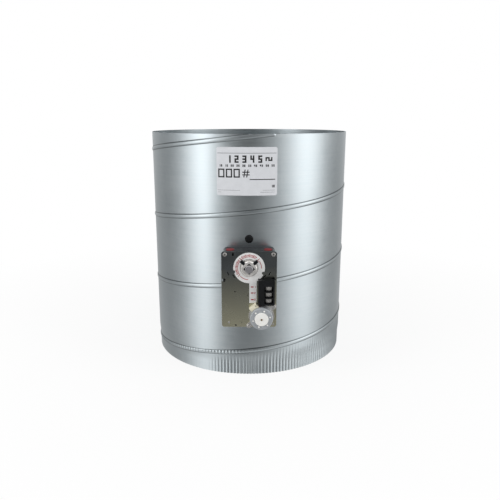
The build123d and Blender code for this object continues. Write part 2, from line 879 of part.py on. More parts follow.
def ear_places():
    angles = (motor_ear_angle, motor_ear_angle + 180)
    return [around(*motor_axis, motor_ear_radius, angle) for angle in angles]


def motor_flange():
    """Mounting plate with two ears and the boss that carries the rotor shaft."""
    outline = Pos(*motor_axis) * Circle(motor_flange_dia / 2)
    length = 2 * motor_ear_radius + motor_ear_dia
    arm = Rot(0, 0, motor_ear_angle) * SlotOverall(length, motor_ear_dia)
    outline = outline + Pos(*motor_axis) * arm
    for x, z in ear_places():
        outline = outline - Pos(x, z) * Circle(motor_ear_rivet_dia / 2)
    flange = raised(outline, plate_front_y, plate_front_y - motor_flange_thickness)
    boss_y = plate_front_y + motor_boss_length
    boss = disc(*motor_axis, motor_boss_dia, boss_y, plate_front_y)
    bore = disc(*motor_axis, rotor_shaft_dia + 2 * arbor_running_gap, boss_y, motor_back_y)
    return flange + boss - bore


def motor_can():
    """Drawn cup over the coil, with a hole for the rotor shaft's front end."""
    can = disc(*motor_axis, motor_can_dia, motor_back_y, motor_front_y)
    can = chamfer(can.edges().group_by(Axis.Y)[0], motor_can_edge)
    inner_dia = motor_can_dia - 2 * motor_can_wall
    can = can - disc(*motor_axis, inner_dia, motor_back_y, motor_front_y + motor_can_wall)
    hole = rotor_shaft_dia + 2 * arbor_running_gap
    return can - disc(*motor_axis, hole, motor_back_y, motor_front_y)


def motor_cap():
    cap = disc(*motor_axis, motor_cap_dia, motor_front_y, motor_front_y - motor_cap_height)
    return chamfer(cap.edges().group_by(Axis.Y)[0], motor_cap_edge)


def motor_centre_pin():
    cap_y = motor_front_y - motor_cap_height
    return disc(*motor_axis, motor_pin_dia, cap_y, cap_y - motor_pin_height)


def motor_stakes():
    """Heads of the moulded stakes round the can's front."""
    stakes = []
    for i in range(motor_stake_count):
        angle = motor_stake_angle + 360 * i / motor_stake_count
        x, z = around(*motor_axis, motor_stake_radius, angle)
        stake = disc(x, z, motor_stake_dia, motor_front_y, motor_front_y - motor_stake_height)
        stakes.append(chamfer(stake.edges().group_by(Axis.Y)[0], motor_stake_height / 2))
    return Compound(children=stakes)


def motor_coil():
    back_y = motor_back_y
    front_y = motor_front_y + motor_can_wall
    outline = Circle(coil_outer_dia / 2) - Circle(coil_inner_dia / 2)
    return raised(Pos(*motor_axis) * outline, back_y, front_y)


def rotor_magnet():
    back_y = motor_back_y - rotor_end_gap
    front_y = motor_front_y + motor_can_wall + rotor_end_gap
    outline = Circle(rotor_dia / 2) - Circle(rotor_shaft_dia / 2)
    return raised(Pos(*motor_axis) * outline, back_y, front_y)


def rotor_pinion():
    """Rotor shaft with the pinion that drives the first gear."""
    gap_turn = 180 / pinion_teeth
    toward_wheel = bearing_angle(motor_axis, first_axis)
    pinion = pinion_outline(fine_module, toward_wheel + gap_turn)
    back_y = first_wheel_back_y + pinion_extra_width
    front_y = first_wheel_back_y - wheel_width - pinion_extra_width
    gear = raised(Pos(*motor_axis) * pinion, back_y, front_y)
    return gear + disc(*motor_axis, rotor_shaft_dia, front_y, motor_front_y + thrust_gap)


def motor_ear_rivets():
    rivets = []
    seat_y = plate_front_y - motor_flange_thickness
    for x, z in ear_places():
        head = disc(x, z, motor_ear_rivet_head, seat_y, seat_y - motor_ear_rivet_height)
        head = chamfer(head.edges().group_by(Axis.Y)[0], motor_ear_rivet_height / 2)
        rivets.append(head + disc(x, z, motor_ear_rivet_dia, plate_back_y, seat_y))
    return Compound(children=rivets)


def connector_centre():
    return (motor_axis[0] + connector_x, motor_axis[1] + connector_z)


def coil_connector():
    """Moulded cover of the coil's two leads, beside the can."""
    outline = Rot(0, 0, connector_angle) * Rectangle(connector_length, connector_width)
    centre = connector_centre()
    back_y = motor_back_y
    body = raised(Pos(*centre) * outline, back_y, back_y - connector_depth)
    clear = disc(*motor_axis, motor_can_dia, back_y, back_y - connector_depth)
    hole_place = around(*centre, connector_length * 0.33, connector_angle + 18)
    hole = disc(*hole_place, connector_hole_dia, back_y - connector_depth / 2, back_y - connector_depth)
    return chamfer((body - clear).edges().group_by(Axis.Y)[0], 0.5) - hole


def motor_leads():
    """Two insulated leads from the connector's end up into the terminal block."""
    leads = []
    turn = radians(connector_angle)
    end_centre = around(*connector_centre(), connector_length / 2, connector_angle)
    start_x = end_centre[0] + lead_exit * sin(turn)
    start_z = end_centre[1] - lead_exit * cos(turn)
    block_z = terminal_centre[1] - terminal_height / 2
    for depth, end_x in zip(lead_depths, lead_ends):
        y = plate_front_y - depth
        bend_x = start_x + lead_run * cos(turn)
        bend_z = start_z + lead_run * sin(turn)
        top_x = start_x - 0.8 + end_x
        rise = block_z - bend_z
        path = FilletPolyline(
            (start_x, y, start_z),
            (bend_x, y, bend_z),
            (top_x, y, bend_z + 0.1),
            (top_x, y, block_z),
            radius=rise / 2,
        )
        section = Plane(origin=path @ 0, z_dir=path % 0) * Circle(lead_dia / 2)
        leads.append(sweep(section, path=path))
    return Compound(children=leads)


# Terminal block

def terminal_places():
    x = terminal_centre[0] + terminal_screw_x
    z = terminal_centre[1] - terminal_row_drop
    offsets = [i - (terminal_count - 1) / 2 for i in range(terminal_count)]
    return [(x, z + terminal_pitch * offset) for offset in offsets]


def terminal_block():
    """Moulded block with one open pocket for each clamp screw."""
    outline = RectangleRounded(terminal_width, terminal_height, terminal_corner)
    front_y = plate_front_y - terminal_depth
    block = raised(Pos(*terminal_centre) * outline, plate_front_y, front_y)
    floor_y = front_y + pocket_depth
    for x, z in terminal_places():
        pocket = Rectangle(pocket_width, pocket_height)
        block = block - raised(Pos(x, z) * pocket, floor_y, front_y)
        hole_end = floor_y + terminal_shank_length
        block = block - disc(x, z, terminal_shank_dia, hole_end, floor_y)
    return block


def terminal_clamps():
    clamps = []
    floor_y = plate_front_y - terminal_depth + pocket_depth
    for x, z in terminal_places():
        outline = Rectangle(clamp_width, clamp_height) - Circle(terminal_shank_dia / 2)
        clamps.append(raised(Pos(x, z) * outline, floor_y, floor_y - clamp_thickness))
    return Compound(children=clamps)


def terminal_screws():
    screws = []
    floor_y = plate_front_y - terminal_depth + pocket_depth
    seat_y = floor_y - clamp_thickness
    top_y = seat_y - terminal_head_height
    for x, z in terminal_places():
        head = disc(x, z, terminal_head_dia, seat_y, top_y)
        slot = Rot(0, 0, 90) * Rectangle(2 * terminal_head_dia, terminal_slot_width)
        head = head - raised(Pos(x, z) * slot, top_y + terminal_slot_depth, top_y)
        shank = disc(x, z, terminal_shank_dia, floor_y + terminal_shank_length, seat_y)
        screws.append(head + shank)
    return Compound(children=screws)


# Gear layers from the housing floor forwards, and the gear centres
sector_back_y = floor_front_y - layer_gap
sector_front_y = sector_back_y - sector_width
second_back_y = sector_back_y + pinion_extra_width
second_wheel_back_y = second_back_y - sector_width - layer_gap - pinion_extra_width
first_back_y = second_wheel_back_y + pinion_extra_width
first_wheel_back_y = first_back_y - sector_width - layer_gap - pinion_extra_width
sector_reach = heavy_module * (sector_teeth + pinion_teeth) / 2
heavy_reach = heavy_module * (wheel_teeth + pinion_teeth) / 2
fine_reach = fine_module * (wheel_teeth + pinion_teeth) / 2
second_axis = around(0, shaft_z, sector_reach, sector_arbor_angle)
first_axis = meeting_point(second_axis, motor_axis, heavy_reach, fine_reach)
motor_back_y = plate_front_y - motor_flange_thickness
motor_front_y = motor_back_y - motor_can_depth

makers = {
    "duct_shell": duct_shell,
    "hole_plug": hole_plug,
    "data_label": data_label,
    "front_bush": lambda: shaft_bush(-1),
    "rear_bush": lambda: shaft_bush(1),
    "rear_washer": rear_washer,
    "retaining_ring": retaining_ring,
    "blade_shaft": blade_shaft,
    "blade_upper_skin": upper_skin,
    "blade_lower_skin": lower_skin,
    "blade_gasket": blade_gasket,
    "blade_rivets": blade_rivets,
    "blade_bolts": blade_bolts,
    "blade_nuts": blade_nuts,
    "actuator_housing": actuator_housing,
    "port_plugs": port_plugs,
    "mounting_studs": mounting_studs,
    "mounting_nuts": mounting_nuts,
    "front_plate": front_plate,
    "plate_eyelets": plate_eyelets,
    "plate_rivets": plate_rivets,
    "dial_label": dial_label,
    "drive_hub": drive_hub,
    "hub_set_screws": hub_set_screws,
    "sector_gear": sector_gear,
    "second_gear": second_gear,
    "first_gear": first_gear,
    "gear_arbors": gear_arbors,
    "motor_flange": motor_flange,
    "motor_can": motor_can,
    "motor_cap": motor_cap,
    "motor_centre_pin": motor_centre_pin,
    "motor_stakes": motor_stakes,
    "motor_coil": motor_coil,
    "rotor_magnet": rotor_magnet,
    "rotor_pinion": rotor_pinion,
    "motor_ear_rivets": motor_ear_rivets,
    "coil_connector": coil_connector,
    "motor_leads": motor_leads,
    "terminal_block": terminal_block,
    "terminal_clamps": terminal_clamps,
    "terminal_screws": terminal_screws,
}

for node, make in makers.items():
    export_step(make(), f"parts/{node}.step")
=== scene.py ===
import json
from math import ceil, cos, pi, radians, sin, sqrt

import bmesh
import bpy
from mathutils import Matrix, Vector


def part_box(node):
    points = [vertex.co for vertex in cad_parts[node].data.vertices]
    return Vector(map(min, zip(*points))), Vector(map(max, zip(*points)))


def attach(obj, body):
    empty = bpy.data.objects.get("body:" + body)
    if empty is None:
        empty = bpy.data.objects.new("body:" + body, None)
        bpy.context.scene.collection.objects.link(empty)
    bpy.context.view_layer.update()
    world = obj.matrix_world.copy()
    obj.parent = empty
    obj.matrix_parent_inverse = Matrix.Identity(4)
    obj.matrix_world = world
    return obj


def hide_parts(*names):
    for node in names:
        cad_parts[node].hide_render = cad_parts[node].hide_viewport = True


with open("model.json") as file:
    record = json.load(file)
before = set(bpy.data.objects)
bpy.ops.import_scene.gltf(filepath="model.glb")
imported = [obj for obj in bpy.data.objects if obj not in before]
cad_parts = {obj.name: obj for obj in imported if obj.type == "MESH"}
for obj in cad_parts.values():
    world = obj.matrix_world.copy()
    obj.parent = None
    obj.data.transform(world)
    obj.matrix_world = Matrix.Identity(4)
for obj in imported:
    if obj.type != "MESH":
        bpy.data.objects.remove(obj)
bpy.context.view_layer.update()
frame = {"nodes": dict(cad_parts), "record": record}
nodes = frame["nodes"]

MM = 0.001

# Kinds of node that most of the trees use
MATH = "ShaderNodeMath"
RANGE = "ShaderNodeMapRange"
MIX = "ShaderNodeMix"

# Duct, with the sizes of its solid; the seam's end is counted in turns along the seam from
# where it first passes the front
duct_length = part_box("duct_shell")[1].z
skin_r = 178.5 * MM
duct_wall = 0.7 * MM
seam_pitch = 119.5 * MM
seam_width = 7.0 * MM
seam_height = 1.3 * MM
seam_front_z = 44.1 * MM
seam_end_turn = 3.036
crimp_length = 40.0 * MM
crimp_count = 190
crimp_depth = 1.1 * MM
crimp_slack = 1.4 * MM

# Crimps: how high they reach, the least that the seam leaves of that height, the share of it
# where they have their full depth, and where the taper starts as a share of the crimped end
crimp_reach = 58.0 * MM
crimp_least = 2.0 * MM
crimp_full_share = 0.55
taper_share = 0.5

# Stretch that the crimping rolls left nearly smooth: how it starts and ends, in turns from the
# front, and the share of the depth that is left there
smooth_start = (-0.40, -0.34)
smooth_end = (-0.075, -0.012)
smooth_depth = 0.06

# Beads where the rolls crossed the seam's ridge: how high they reach, and the share of the
# ridge that they take away at the crimped end
bead_top = 46.0 * MM
bead_depth = 0.8

# Painted shade in the folds of the seam, darker at the upper fold: half widths of the dark
# line and of its blurred edge, and the lower fold's share of the upper one's darkness
fold_shade_core = 0.35 * MM
fold_shade_reach = 1.15 * MM
fold_shade_blend = 1.0 * MM
lower_fold_shade = 0.75

# Rows and columns of the duct's mesh; ridge_span is how far the rows over the ridge reach to
# each side of its middle, as a share of its width
columns_per_crimp = 4
windings = 5
ridge_rows = 10
flat_rows = 3
ridge_span = 0.66
rows_below_seam = 14
rows_over_seam = 8
rows_above_seam = 14
bore_rows = 8
weld = 0.005 * MM
sharp_edge = radians(62)

# Sticker on the duct; its width is measured straight across, not round the duct
sticker_low, sticker_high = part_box("data_label")
sticker_r = -sticker_low.y
sticker_sheet = 0.25 * MM
sticker_corner = 3.0 * MM

# Dial label and hub
dial_low, dial_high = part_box("dial_label")
dial_front = dial_low.y
dial_r = dial_high.x
shaft_z = dial_high.z - dial_r
hub_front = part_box("drive_hub")[0].y
# The clamp blocks reach into the open slots and stand proud of the hub, so their black is partly
# painted shade for the slots
clamp_width = 4.9 * MM
clamp_from = 10.3 * MM
clamp_to = 18.4 * MM
clamp_depth = 5.4 * MM
clamp_proud = 0.25 * MM
clamp_round = 0.7 * MM

# Printed marks, and the steps in which bars and arcs are cut so that they follow a curve
ink_depth = 0.06 * MM
ink_step = 4.0 * MM
ink_turn = radians(6)

# Edges of the pieces that are taken from their solids
solid_weld = 0.002 * MM
flat_angle = radians(0.5)
edge_angle = radians(32)

# Studio: level of the even light, height that the lamps aim at, how far the floor reaches,
# the share of plain white in it at the object, and the distances between which this fills up
even_level = 0.62
lamp_aim = 0.2
floor_reach = 40.0
floor_white = 0.84
floor_fade = (0.25, 0.9)

# Reflected studio: degrees round from the camera's side, and the panels' level there
panel_levels = (
    (-180, 0.34), (-158, 0.26), (-138, 0.20), (-108, 0.13), (-86, 0.20), (-68, 0.58),
    (-52, 1.0), (-38, 0.37), (-24, 0.12), (-8, 0.05), (8, 0.06), (20, 0.15), (33, 0.22),
    (48, 0.46), (62, 0.78), (76, 0.74), (88, 0.44), (103, 0.19), (122, 0.16), (140, 0.21),
    (158, 0.27), (180, 0.34),
)

# Its levels by the height of the way looked, from -1 straight down to 1 straight up: where a
# change starts and ends, and the level at both
panel_bands = (
    (-0.42, 0.0, 1.35, 3.0), (0.05, 0.6, 1.0, 0.75), (-0.8, -0.45, 0.3, 1.0),
)
far_table = (-0.42, -0.15, 0.2, 0.0)
near_table = (-0.85, -0.52, 0.45, 0.0)
ceiling = (0.5, 0.9, 0.0, 0.45)

# Camera of the photograph: pitch in degrees downwards, lens and sensor in millimetres
camera_place = (0.0, -1030 * MM, 432.7 * MM)
camera_pitch = 13.935
camera_lens = 38.74
camera_sensor = 36.0
camera_shift = 0.0018


def colour(code):
    """Linear RGBA of an sRGB hex code."""
    channels = [int(code[i:i + 2], 16) / 255 for i in (0, 2, 4)]
    linear = [c / 12.92 if c <= 0.04045 else ((c + 0.055) / 1.055) ** 2.4 for c in channels]
    return (*linear, 1.0)


def add(tree, kind, *inputs, **settings):
    """Adds a node with its settings and returns it. Inputs are values or outputs to link,
    in order from the first socket, or in a dictionary by socket name or number."""
    node = tree.nodes.new(kind)
    for name, value in settings.items():
        setattr(node, name, value)
    places = dict(enumerate(inputs))
    if inputs and isinstance(inputs[-1], dict):
        places.pop(len(inputs) - 1)
        places.update(inputs[-1])
    for place, value in places.items():
        if isinstance(value, bpy.types.Node):
            value = value.outputs[0]
        if isinstance(value, bpy.types.NodeSocket):
            tree.links.new(value, node.inputs[place])
        else:
            node.inputs[place].default_value = value
    return node


# Materials

def surface(name, code, roughness, metallic=0.0, **more):
    """New material; returns it with its tree and its shader."""
    made = bpy.data.materials.new(name)
    made.use_nodes = True
    shader = made.node_tree.nodes["Principled BSDF"]
    shader.inputs["Base Color"].default_value = colour(code)
    shader.inputs["Roughness"].default_value = roughness
    shader.inputs["Metallic"].default_value = metallic
    for socket, value in more.items():
        shader.inputs[socket.replace("_", " ")].default_value = value
    return made, made.node_tree, shader


def mottle(tree, size, detail=3.0, stretch=(1.0, 1.0, 1.0), offset=(0.0, 0.0, 0.0)):
    """Cloudy pattern, 0 to 1, with patches of the given real size in millimetres."""
    place = add(tree, "ShaderNodeTexCoord").outputs["Object"]
    turned = add(tree, "ShaderNodeMapping", place, {"Scale": stretch, "Location": offset})
    scale = 1.0 / (size * MM)
    noise = add(tree, "ShaderNodeTexNoise", {"Vector": turned, "Scale": scale, "Detail": detail})
    return noise.outputs[0]


def cells(tree, size, feature="F1"):
    """Cell pattern with cells of the given real size in millimetres."""
    place = add(tree, "ShaderNodeTexCoord").outputs["Object"]
    scale = 1.0 / (size * MM)
    return add(tree, "ShaderNodeTexVoronoi", {"Vector": place, "Scale": scale}, feature=feature)


def tint(tree, shader, pattern, low, high, spread=(0.35, 0.65)):
    """Lets a pattern run the base colour from one hex code to another."""
    part = add(tree, RANGE, pattern, *spread)
    mixed = add(tree, MIX, {0: part, 6: colour(low), 7: colour(high)}, data_type="RGBA")
    tree.links.new(mixed.outputs[2], shader.inputs["Base Color"])


def wear(tree, shader, pattern, smooth, rough, spread=(0.35, 0.65)):
    """Lets a pattern run the roughness between two values."""
    part = add(tree, RANGE, pattern, *spread, smooth, rough)
    tree.links.new(part.outputs[0], shader.inputs["Roughness"])


def relief(tree, shader, *layers):
    """Bumps in order, each a pattern with its depth in millimetres."""
    normal = None
    for pattern, depth in layers:
        more = {"Height": pattern, "Distance": depth * MM}
        if normal:
            more["Normal"] = normal
        normal = add(tree, "ShaderNodeBump", more)
    tree.links.new(normal.outputs[0], shader.inputs["Normal"])


def galvanised_steel():
    """Hot-dip galvanised steel sheet, cold rolled: a cool satin grey with a trace of spangle,
    fine streaks along the strip, shallow dents, and painted shade in the folds of the lock seam."""
    made, tree, shader = surface("galvanised_steel_rolled", "BCC4C8", 0.31, 1.0)
    spangle = add(tree, "ShaderNodeSeparateColor", cells(tree, 6.0).outputs["Color"])
    clouds = mottle(tree, 60.0, 4.0)
    streaks = mottle(tree, 24.0, 5.0, stretch=(0.25, 0.25, 9.0))
    blend = add(tree, MIX, {0: 0.2, 2: streaks, 3: spangle})
    mixed = add(tree, MIX, {0: 0.4, 2: blend, 3: clouds})
    part = add(tree, RANGE, mixed, 0.3, 0.7)
    sheet = {0: part, 6: colour("B7C0C4"), 7: colour("C2C9CC")}
    clean = add(tree, MIX, sheet, data_type="RGBA")
    # Painted shade: the seam's folds are darkened towards 33393B, most at the upper fold
    fold_shade = add(tree, "ShaderNodeAttribute", attribute_name="fold_shade").outputs["Fac"]
    shade_strength = add(tree, MATH, fold_shade, 0.95, operation="MULTIPLY")
    shaded_colour = {0: shade_strength, 6: clean.outputs[2], 7: colour("33393B")}
    shaded_colour = add(tree, MIX, shaded_colour, data_type="RGBA")
    tree.links.new(shaded_colour.outputs[2], shader.inputs["Base Color"])
    wear(tree, shader, mixed, 0.28, 0.35, (0.3, 0.7))
    dents = mottle(tree, 95.0, 1.0)
    relief(tree, shader, (dents, 0.55), (streaks, 0.012))
    place = add(tree, "ShaderNodeTexCoord").outputs["Object"]
    along = add(tree, "ShaderNodeVectorMath", (0, 0, 1), place, operation="CROSS_PRODUCT")
    tangent = add(tree, "ShaderNodeVectorMath", along, operation="NORMALIZE")
    tree.links.new(tangent.outputs[0], shader.inputs["Tangent"])
    shader.inputs["Anisotropic"].default_value = 0.3
    return made


def zinc_plate():
    """Bright zinc plate with a clear chromate on steel, with a painted reflection that runs from
    dark grey at the top to pale straw at the lower edge, and cloudy stains."""
    made, tree, shader = surface("zinc_plate_bright", "A9A8A4", 0.24, 1.0)
    place = add(tree, "ShaderNodeTexCoord").outputs["Object"]
    height = add(tree, "ShaderNodeSeparateXYZ", place).outputs[2]
    # Painted reflection: the colour runs from pale straw at the plate's lower edge to dark grey
    # at its top
    low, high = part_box("front_plate")
    rise = add(tree, RANGE, height, low.z, high.z)
    stains = mottle(tree, 26.0, 5.0)
    mixed = add(tree, MIX, {0: 0.2, 2: rise, 3: stains})
    tint(tree, shader, mixed, "E0DDC0", "777C7E", (0.06, 0.74))
    wear(tree, shader, stains, 0.2, 0.3)
    return made


def cast_zinc():
    """Die-cast zinc, tumbled: a bright warm grey with a soft, slightly uneven sheen."""
    made, tree, shader = surface("cast_zinc_tumbled", "DEDCD9", 0.22, 0.5)
    tint(tree, shader, mottle(tree, 6.0), "D4D2CF", "E4E2DF")
    wear(tree, shader, mottle(tree, 3.0), 0.18, 0.26)
    return made


def bright_steel():
    """Turned and plated steel: almost white metal, faintly clouded."""
    made, tree, shader = surface("turned_steel_bright", "DAD8D5", 0.26, 0.9)
    tint(tree, shader, mottle(tree, 5.0), "CECBC8", "E2E0DD")
    return made


def shaft_steel():
    """Cold-drawn shaft steel, sawn at its end: a soft, dull cool grey."""
    made, tree, shader = surface("shaft_steel_drawn", "9C9B9E", 0.4, 0.7)
    tint(tree, shader, mottle(tree, 3.0, 5.0), "929194", "A5A4A7")
    return made


def spring_steel():
    """Phosphated spring steel: dark grey with a dry sheen."""
    made, tree, shader = surface("spring_steel_phosphated", "4D4F53", 0.42, 1.0)
    tint(tree, shader, mottle(tree, 4.0), "43454A", "595B5F")
    return made


def black_oxide():
    """Blackened screw steel: near black, oily sheen."""
    made, tree, shader = surface("screw_steel_blackened", "202327", 0.32, 0.8)
    tint(tree, shader, mottle(tree, 2.0), "17191C", "2E3237")
    return made


def aluminium():
    """Aluminium of blind rivets: pale soft metal, lightly scuffed."""
    made, tree, shader = surface("aluminium_rivet", "CFD2D4", 0.33, 1.0)
    wear(tree, shader, mottle(tree, 2.0), 0.26, 0.42)
    return made


def brass():
    """Drawn brass, darkened by handling: brown-gold."""
    made, tree, shader = surface("brass_tarnished", "9A7B4F", 0.34, 1.0)
    tint(tree, shader, mottle(tree, 3.0), "846641", "A88A5C")
    return made


def motor_grey():
    """Deep-drawn can in grey electro-galvanised finish: flat light grey with little mirror.
    Its grain is drawn coarser than the real one, so that it shows."""
    made, tree, shader = surface("drawn_can_grey", "A7ABAF", 0.46, 0.3)
    tint(tree, shader, mottle(tree, 12.0, 5.0), "A2A6AA", "ADB1B5")
    relief(tree, shader, (mottle(tree, 1.0), 0.01))
    return made


def moulded(name, low, high, roughness, grain=1.2, depth=0.02, **more):
    """Injection-moulded plastic: even colour, faint flow clouds and a spark-eroded grain, which
    is drawn coarser than the real one, so that it shows."""
    made, tree, shader = surface(name, low, roughness, 0.0, **more)
    tint(tree, shader, mottle(tree, 14.0, 4.0), low, high)
    wear(tree, shader, mottle(tree, 5.0), roughness - 0.05, roughness + 0.06)
    relief(tree, shader, (mottle(tree, grain), depth))
    return made


def paper():
    """Coated label paper: cool white, matt, faintly clouded."""
    made, tree, shader = surface("label_paper_coated", "D2D4D8", 0.55)
    tint(tree, shader, mottle(tree, 9.0, 6.0), "D0D2D6", "D5D7DB")
    return made


def label_film():
    """Printed vinyl film of the dial label: a plain white, slightly glossy."""
    made, tree, shader = surface("label_film_vinyl", "DCDCDC", 0.45)
    tint(tree, shader, mottle(tree, 5.0, 4.0), "D9D9D9", "E0E0DF")
    return made


def foam():
    """Closed-cell foam of the blade's gasket: dark grey, pitted with open skin cells."""
    made, tree, shader = surface("foam_closed_cell", "2E3034", 0.85)
    pores = cells(tree, 1.6)
    tint(tree, shader, pores.outputs["Distance"], "1E1F22", "3A3C41", (0.1, 0.6))
    relief(tree, shader, (pores.outputs["Distance"], 0.25))
    return made


def ink(name, code):
    """Screen-printed ink: one flat colour with slightly uneven cover."""
    made, tree, shader = surface(name, code, 0.5)
    wear(tree, shader, mottle(tree, 3.0), 0.42, 0.58)
    return made


finishes = {
    "galvanised_steel": galvanised_steel(),
    "zinc_plate": zinc_plate(),
    "cast_zinc": cast_zinc(),
    "bright_steel": bright_steel(),
    "spring_steel": spring_steel(),
    "black_oxide": black_oxide(),
    "aluminium": aluminium(),
    "brass": brass(),
    "motor_grey": motor_grey(),
    "white_paper": paper(),
    "grey_foam": foam(),
    "dark_moulding": moulded("nylon_glass_filled_black", "26272A", "303235", 0.42, depth=0.04),
    "black_plastic": moulded(
        "phenolic_black", "0A0B0D", "111215", 0.5, Specular_IOR_Level=0.25
    ),
    "red_plastic": moulded("polyethylene_red", "711A1D", "802325", 0.5),
    "white_plastic": moulded("acetal_white", "E9E8E4", "F0EFEB", 0.4),
    "cream_plastic": moulded("nylon_cream", "DAD5BC", "E4DFC9", 0.42),
    "nylon": moulded("nylon_natural", "D5D0C2", "DEDACD", 0.4),
    "lead_insulation": moulded("pvc_dark_red", "45100F", "551715", 0.4),
    "black_rubber": moulded("rubber_black", "0A0B0D", "101113", 0.75, Specular_IOR_Level=0.25),
    "copper_winding": moulded("copper_enamelled", "8A4A24", "9A5730", 0.3, grain=0.3),
    "ferrite": moulded("ferrite_sintered", "232427", "2E2F33", 0.6),
}
red_ink = ink("ink_red", "A01E27")
black_ink = ink("ink_black", "141416")
grey_ink = ink("ink_grey", "6E7074")
other_finishes = {
    "dial_label": label_film(),
    "blade_shaft": shaft_steel(),
    "gear_arbors": finishes["zinc_plate"],
    "motor_flange": finishes["bright_steel"],
}

node_slots = {part["node"]: part["material_slot"] for part in frame["record"]["subparts"]}
body_of = {}
for body, members in frame["record"]["behaviour"]["bodies"].items():
    for member in members:
        body_of[member] = body


def finish_of(node):
    return other_finishes.get(node, finishes[node_slots[node]])


def settle(piece, material, body, slot, *replaced):
    """Gives a finished piece its material and body, and hides the nodes that it stands for. The
    slot is not used.
    """
    piece.data.materials.clear()
    piece.data.materials.append(material)
    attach(piece, body)
    if replaced:
        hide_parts(*replaced)
    return piece


def piece_from(mesh, name):
    made = bpy.data.objects.new(name, mesh)
    bpy.context.scene.collection.objects.link(made)
    return made


# Pieces whose solids only need clean faces and eased edges

def eased(node, ease):
    """Copy of a node with merged faces, smooth curves and rounded edges, which replaces it."""
    mesh = nodes[node].data.copy()
    shape = bmesh.new()
    shape.from_mesh(mesh)
    bmesh.ops.remove_doubles(shape, verts=shape.verts, dist=solid_weld)
    bmesh.ops.dissolve_limit(
        shape, angle_limit=flat_angle, verts=shape.verts, edges=shape.edges
    )
    for face in shape.faces:
        face.smooth = True
    shape.to_mesh(mesh)
    shape.free()
    mesh.name = node + "_eased"
    piece = piece_from(mesh, node + "_eased")
    bevel = piece.modifiers.new("ease", "BEVEL")
    bevel.width = ease * MM
    bevel.segments = 2
    bevel.limit_method = "ANGLE"
    bevel.angle_limit = edge_angle
    bevel.miter_outer = "MITER_ARC"
    even = piece.modifiers.new("even", "WEIGHTED_NORMAL")
    even.mode = "FACE_AREA"
    even.keep_sharp = True
    return settle(piece, finish_of(node), body_of[node], node_slots[node], node)


# Width of the rounded edges in millimetres
eases = {
    "hole_plug": 0.4,
    "front_bush": 0.3,
    "rear_bush": 0.3,
    "rear_washer": 0.15,
    "retaining_ring": 0.15,
    "blade_shaft": 0.3,
    "blade_upper_skin": 0.25,
    "blade_lower_skin": 0.25,
    "blade_gasket": 0.6,
    "blade_bolts": 0.2,
    "blade_nuts": 0.3,
    "actuator_housing": 0.4,
    "port_plugs": 0.3,
    "front_plate": 0.2,
    "plate_eyelets": 0.12,
    "plate_rivets": 0.12,
    "drive_hub": 0.5,
    "motor_flange": 0.2,
    "motor_can": 0.3,
    "motor_cap": 0.25,
    "motor_centre_pin": 0.2,
    "motor_stakes": 0.2,
    "motor_ear_rivets": 0.2,
    "coil_connector": 0.3,
    "motor_leads": 0.05,
    "terminal_block": 0.3,
    "terminal_clamps": 0.1,
    "terminal_screws": 0.15,
}
for node, ease in eases.items():
    eased(node, ease)

for node, thing in nodes.items():
    thing.data.materials.clear()
    thing.data.materials.append(finish_of(node))


# Duct shell

def new_tree(name, sizes):
    """Geometry tree with a geometry input and output and named size inputs."""
    tree = bpy.data.node_groups.new(name, "GeometryNodeTree")
    tree.interface.new_socket("Geometry", in_out="INPUT", socket_type="NodeSocketGeometry")
    tree.interface.new_socket("Geometry", in_out="OUTPUT", socket_type="NodeSocketGeometry")
    for label, value in sizes.items():
        kind = "NodeSocketInt" if isinstance(value, int) else "NodeSocketFloat"
        tree.interface.new_socket(label, in_out="INPUT", socket_type=kind)
    start = tree.nodes.new("NodeGroupInput")
    end = tree.nodes.new("NodeGroupOutput")
    return tree, start, end


def grown(name, tree, sizes):
    """Plain mesh piece that a geometry tree makes with the given sizes."""
    holder = piece_from(bpy.data.meshes.new(name + "_seed"), name + "_seed")
    grow = holder.modifiers.new("grow", "NODES")
    grow.node_group = tree
    for item in tree.interface.items_tree:
        if item.item_type == "SOCKET" and item.in_out == "INPUT" and item.name in sizes:
            grow[item.identifier] = sizes[item.name]
    bpy.context.view_layer.update()
    depsgraph = bpy.context.evaluated_depsgraph_get()
    mesh = bpy.data.meshes.new_from_object(holder.evaluated_get(depsgraph), depsgraph=depsgraph)
    bpy.data.objects.remove(holder)
    mesh.name = name
    return piece_from(mesh, name)


def tube_heights(tree, size, turn, share):
    """Heights of the tube's rows above the crimps. They follow the seam, most of them over
    its ridge."""
    strip_rows = ridge_rows + flat_rows
    row = add(tree, MATH, share, windings * strip_rows, operation="MULTIPLY")
    row = add(tree, MATH, row, operation="ROUND")
    strip = add(tree, MATH, row, strip_rows, operation="DIVIDE")
    strip = add(tree, MATH, strip, operation="FLOOR")
    step = add(tree, MATH, row, strip_rows, operation="MODULO")
    span = add(tree, MATH, size["Seam width"], ridge_span, operation="MULTIPLY")
    low_span = add(tree, MATH, span, -1.0, operation="MULTIPLY")
    on_ridge = add(tree, RANGE, step, 0, ridge_rows, low_span, span)
    flat_end = add(tree, MATH, size["Seam pitch"], span, operation="SUBTRACT")
    on_flat = add(tree, RANGE, step, ridge_rows, strip_rows, span, flat_end)
    past = add(tree, MATH, step, ridge_rows + 0.5, operation="GREATER_THAN")
    offset = add(tree, MIX, {0: past, 2: on_ridge, 3: on_flat})
    winding = add(tree, MATH, strip, turn, operation="ADD")
    winding = add(tree, MATH, winding, 1.0, operation="SUBTRACT")
    climb = add(tree, MATH, winding, size["Seam pitch"], operation="MULTIPLY")
    along = add(tree, MATH, climb, size["Seam front"], operation="ADD")
    free = add(tree, MATH, along, offset, operation="ADD")
    above = add(tree, MATH, free, size["Crimp length"], operation="MAXIMUM")
    return add(tree, MATH, above, size["Length"], operation="MINIMUM")


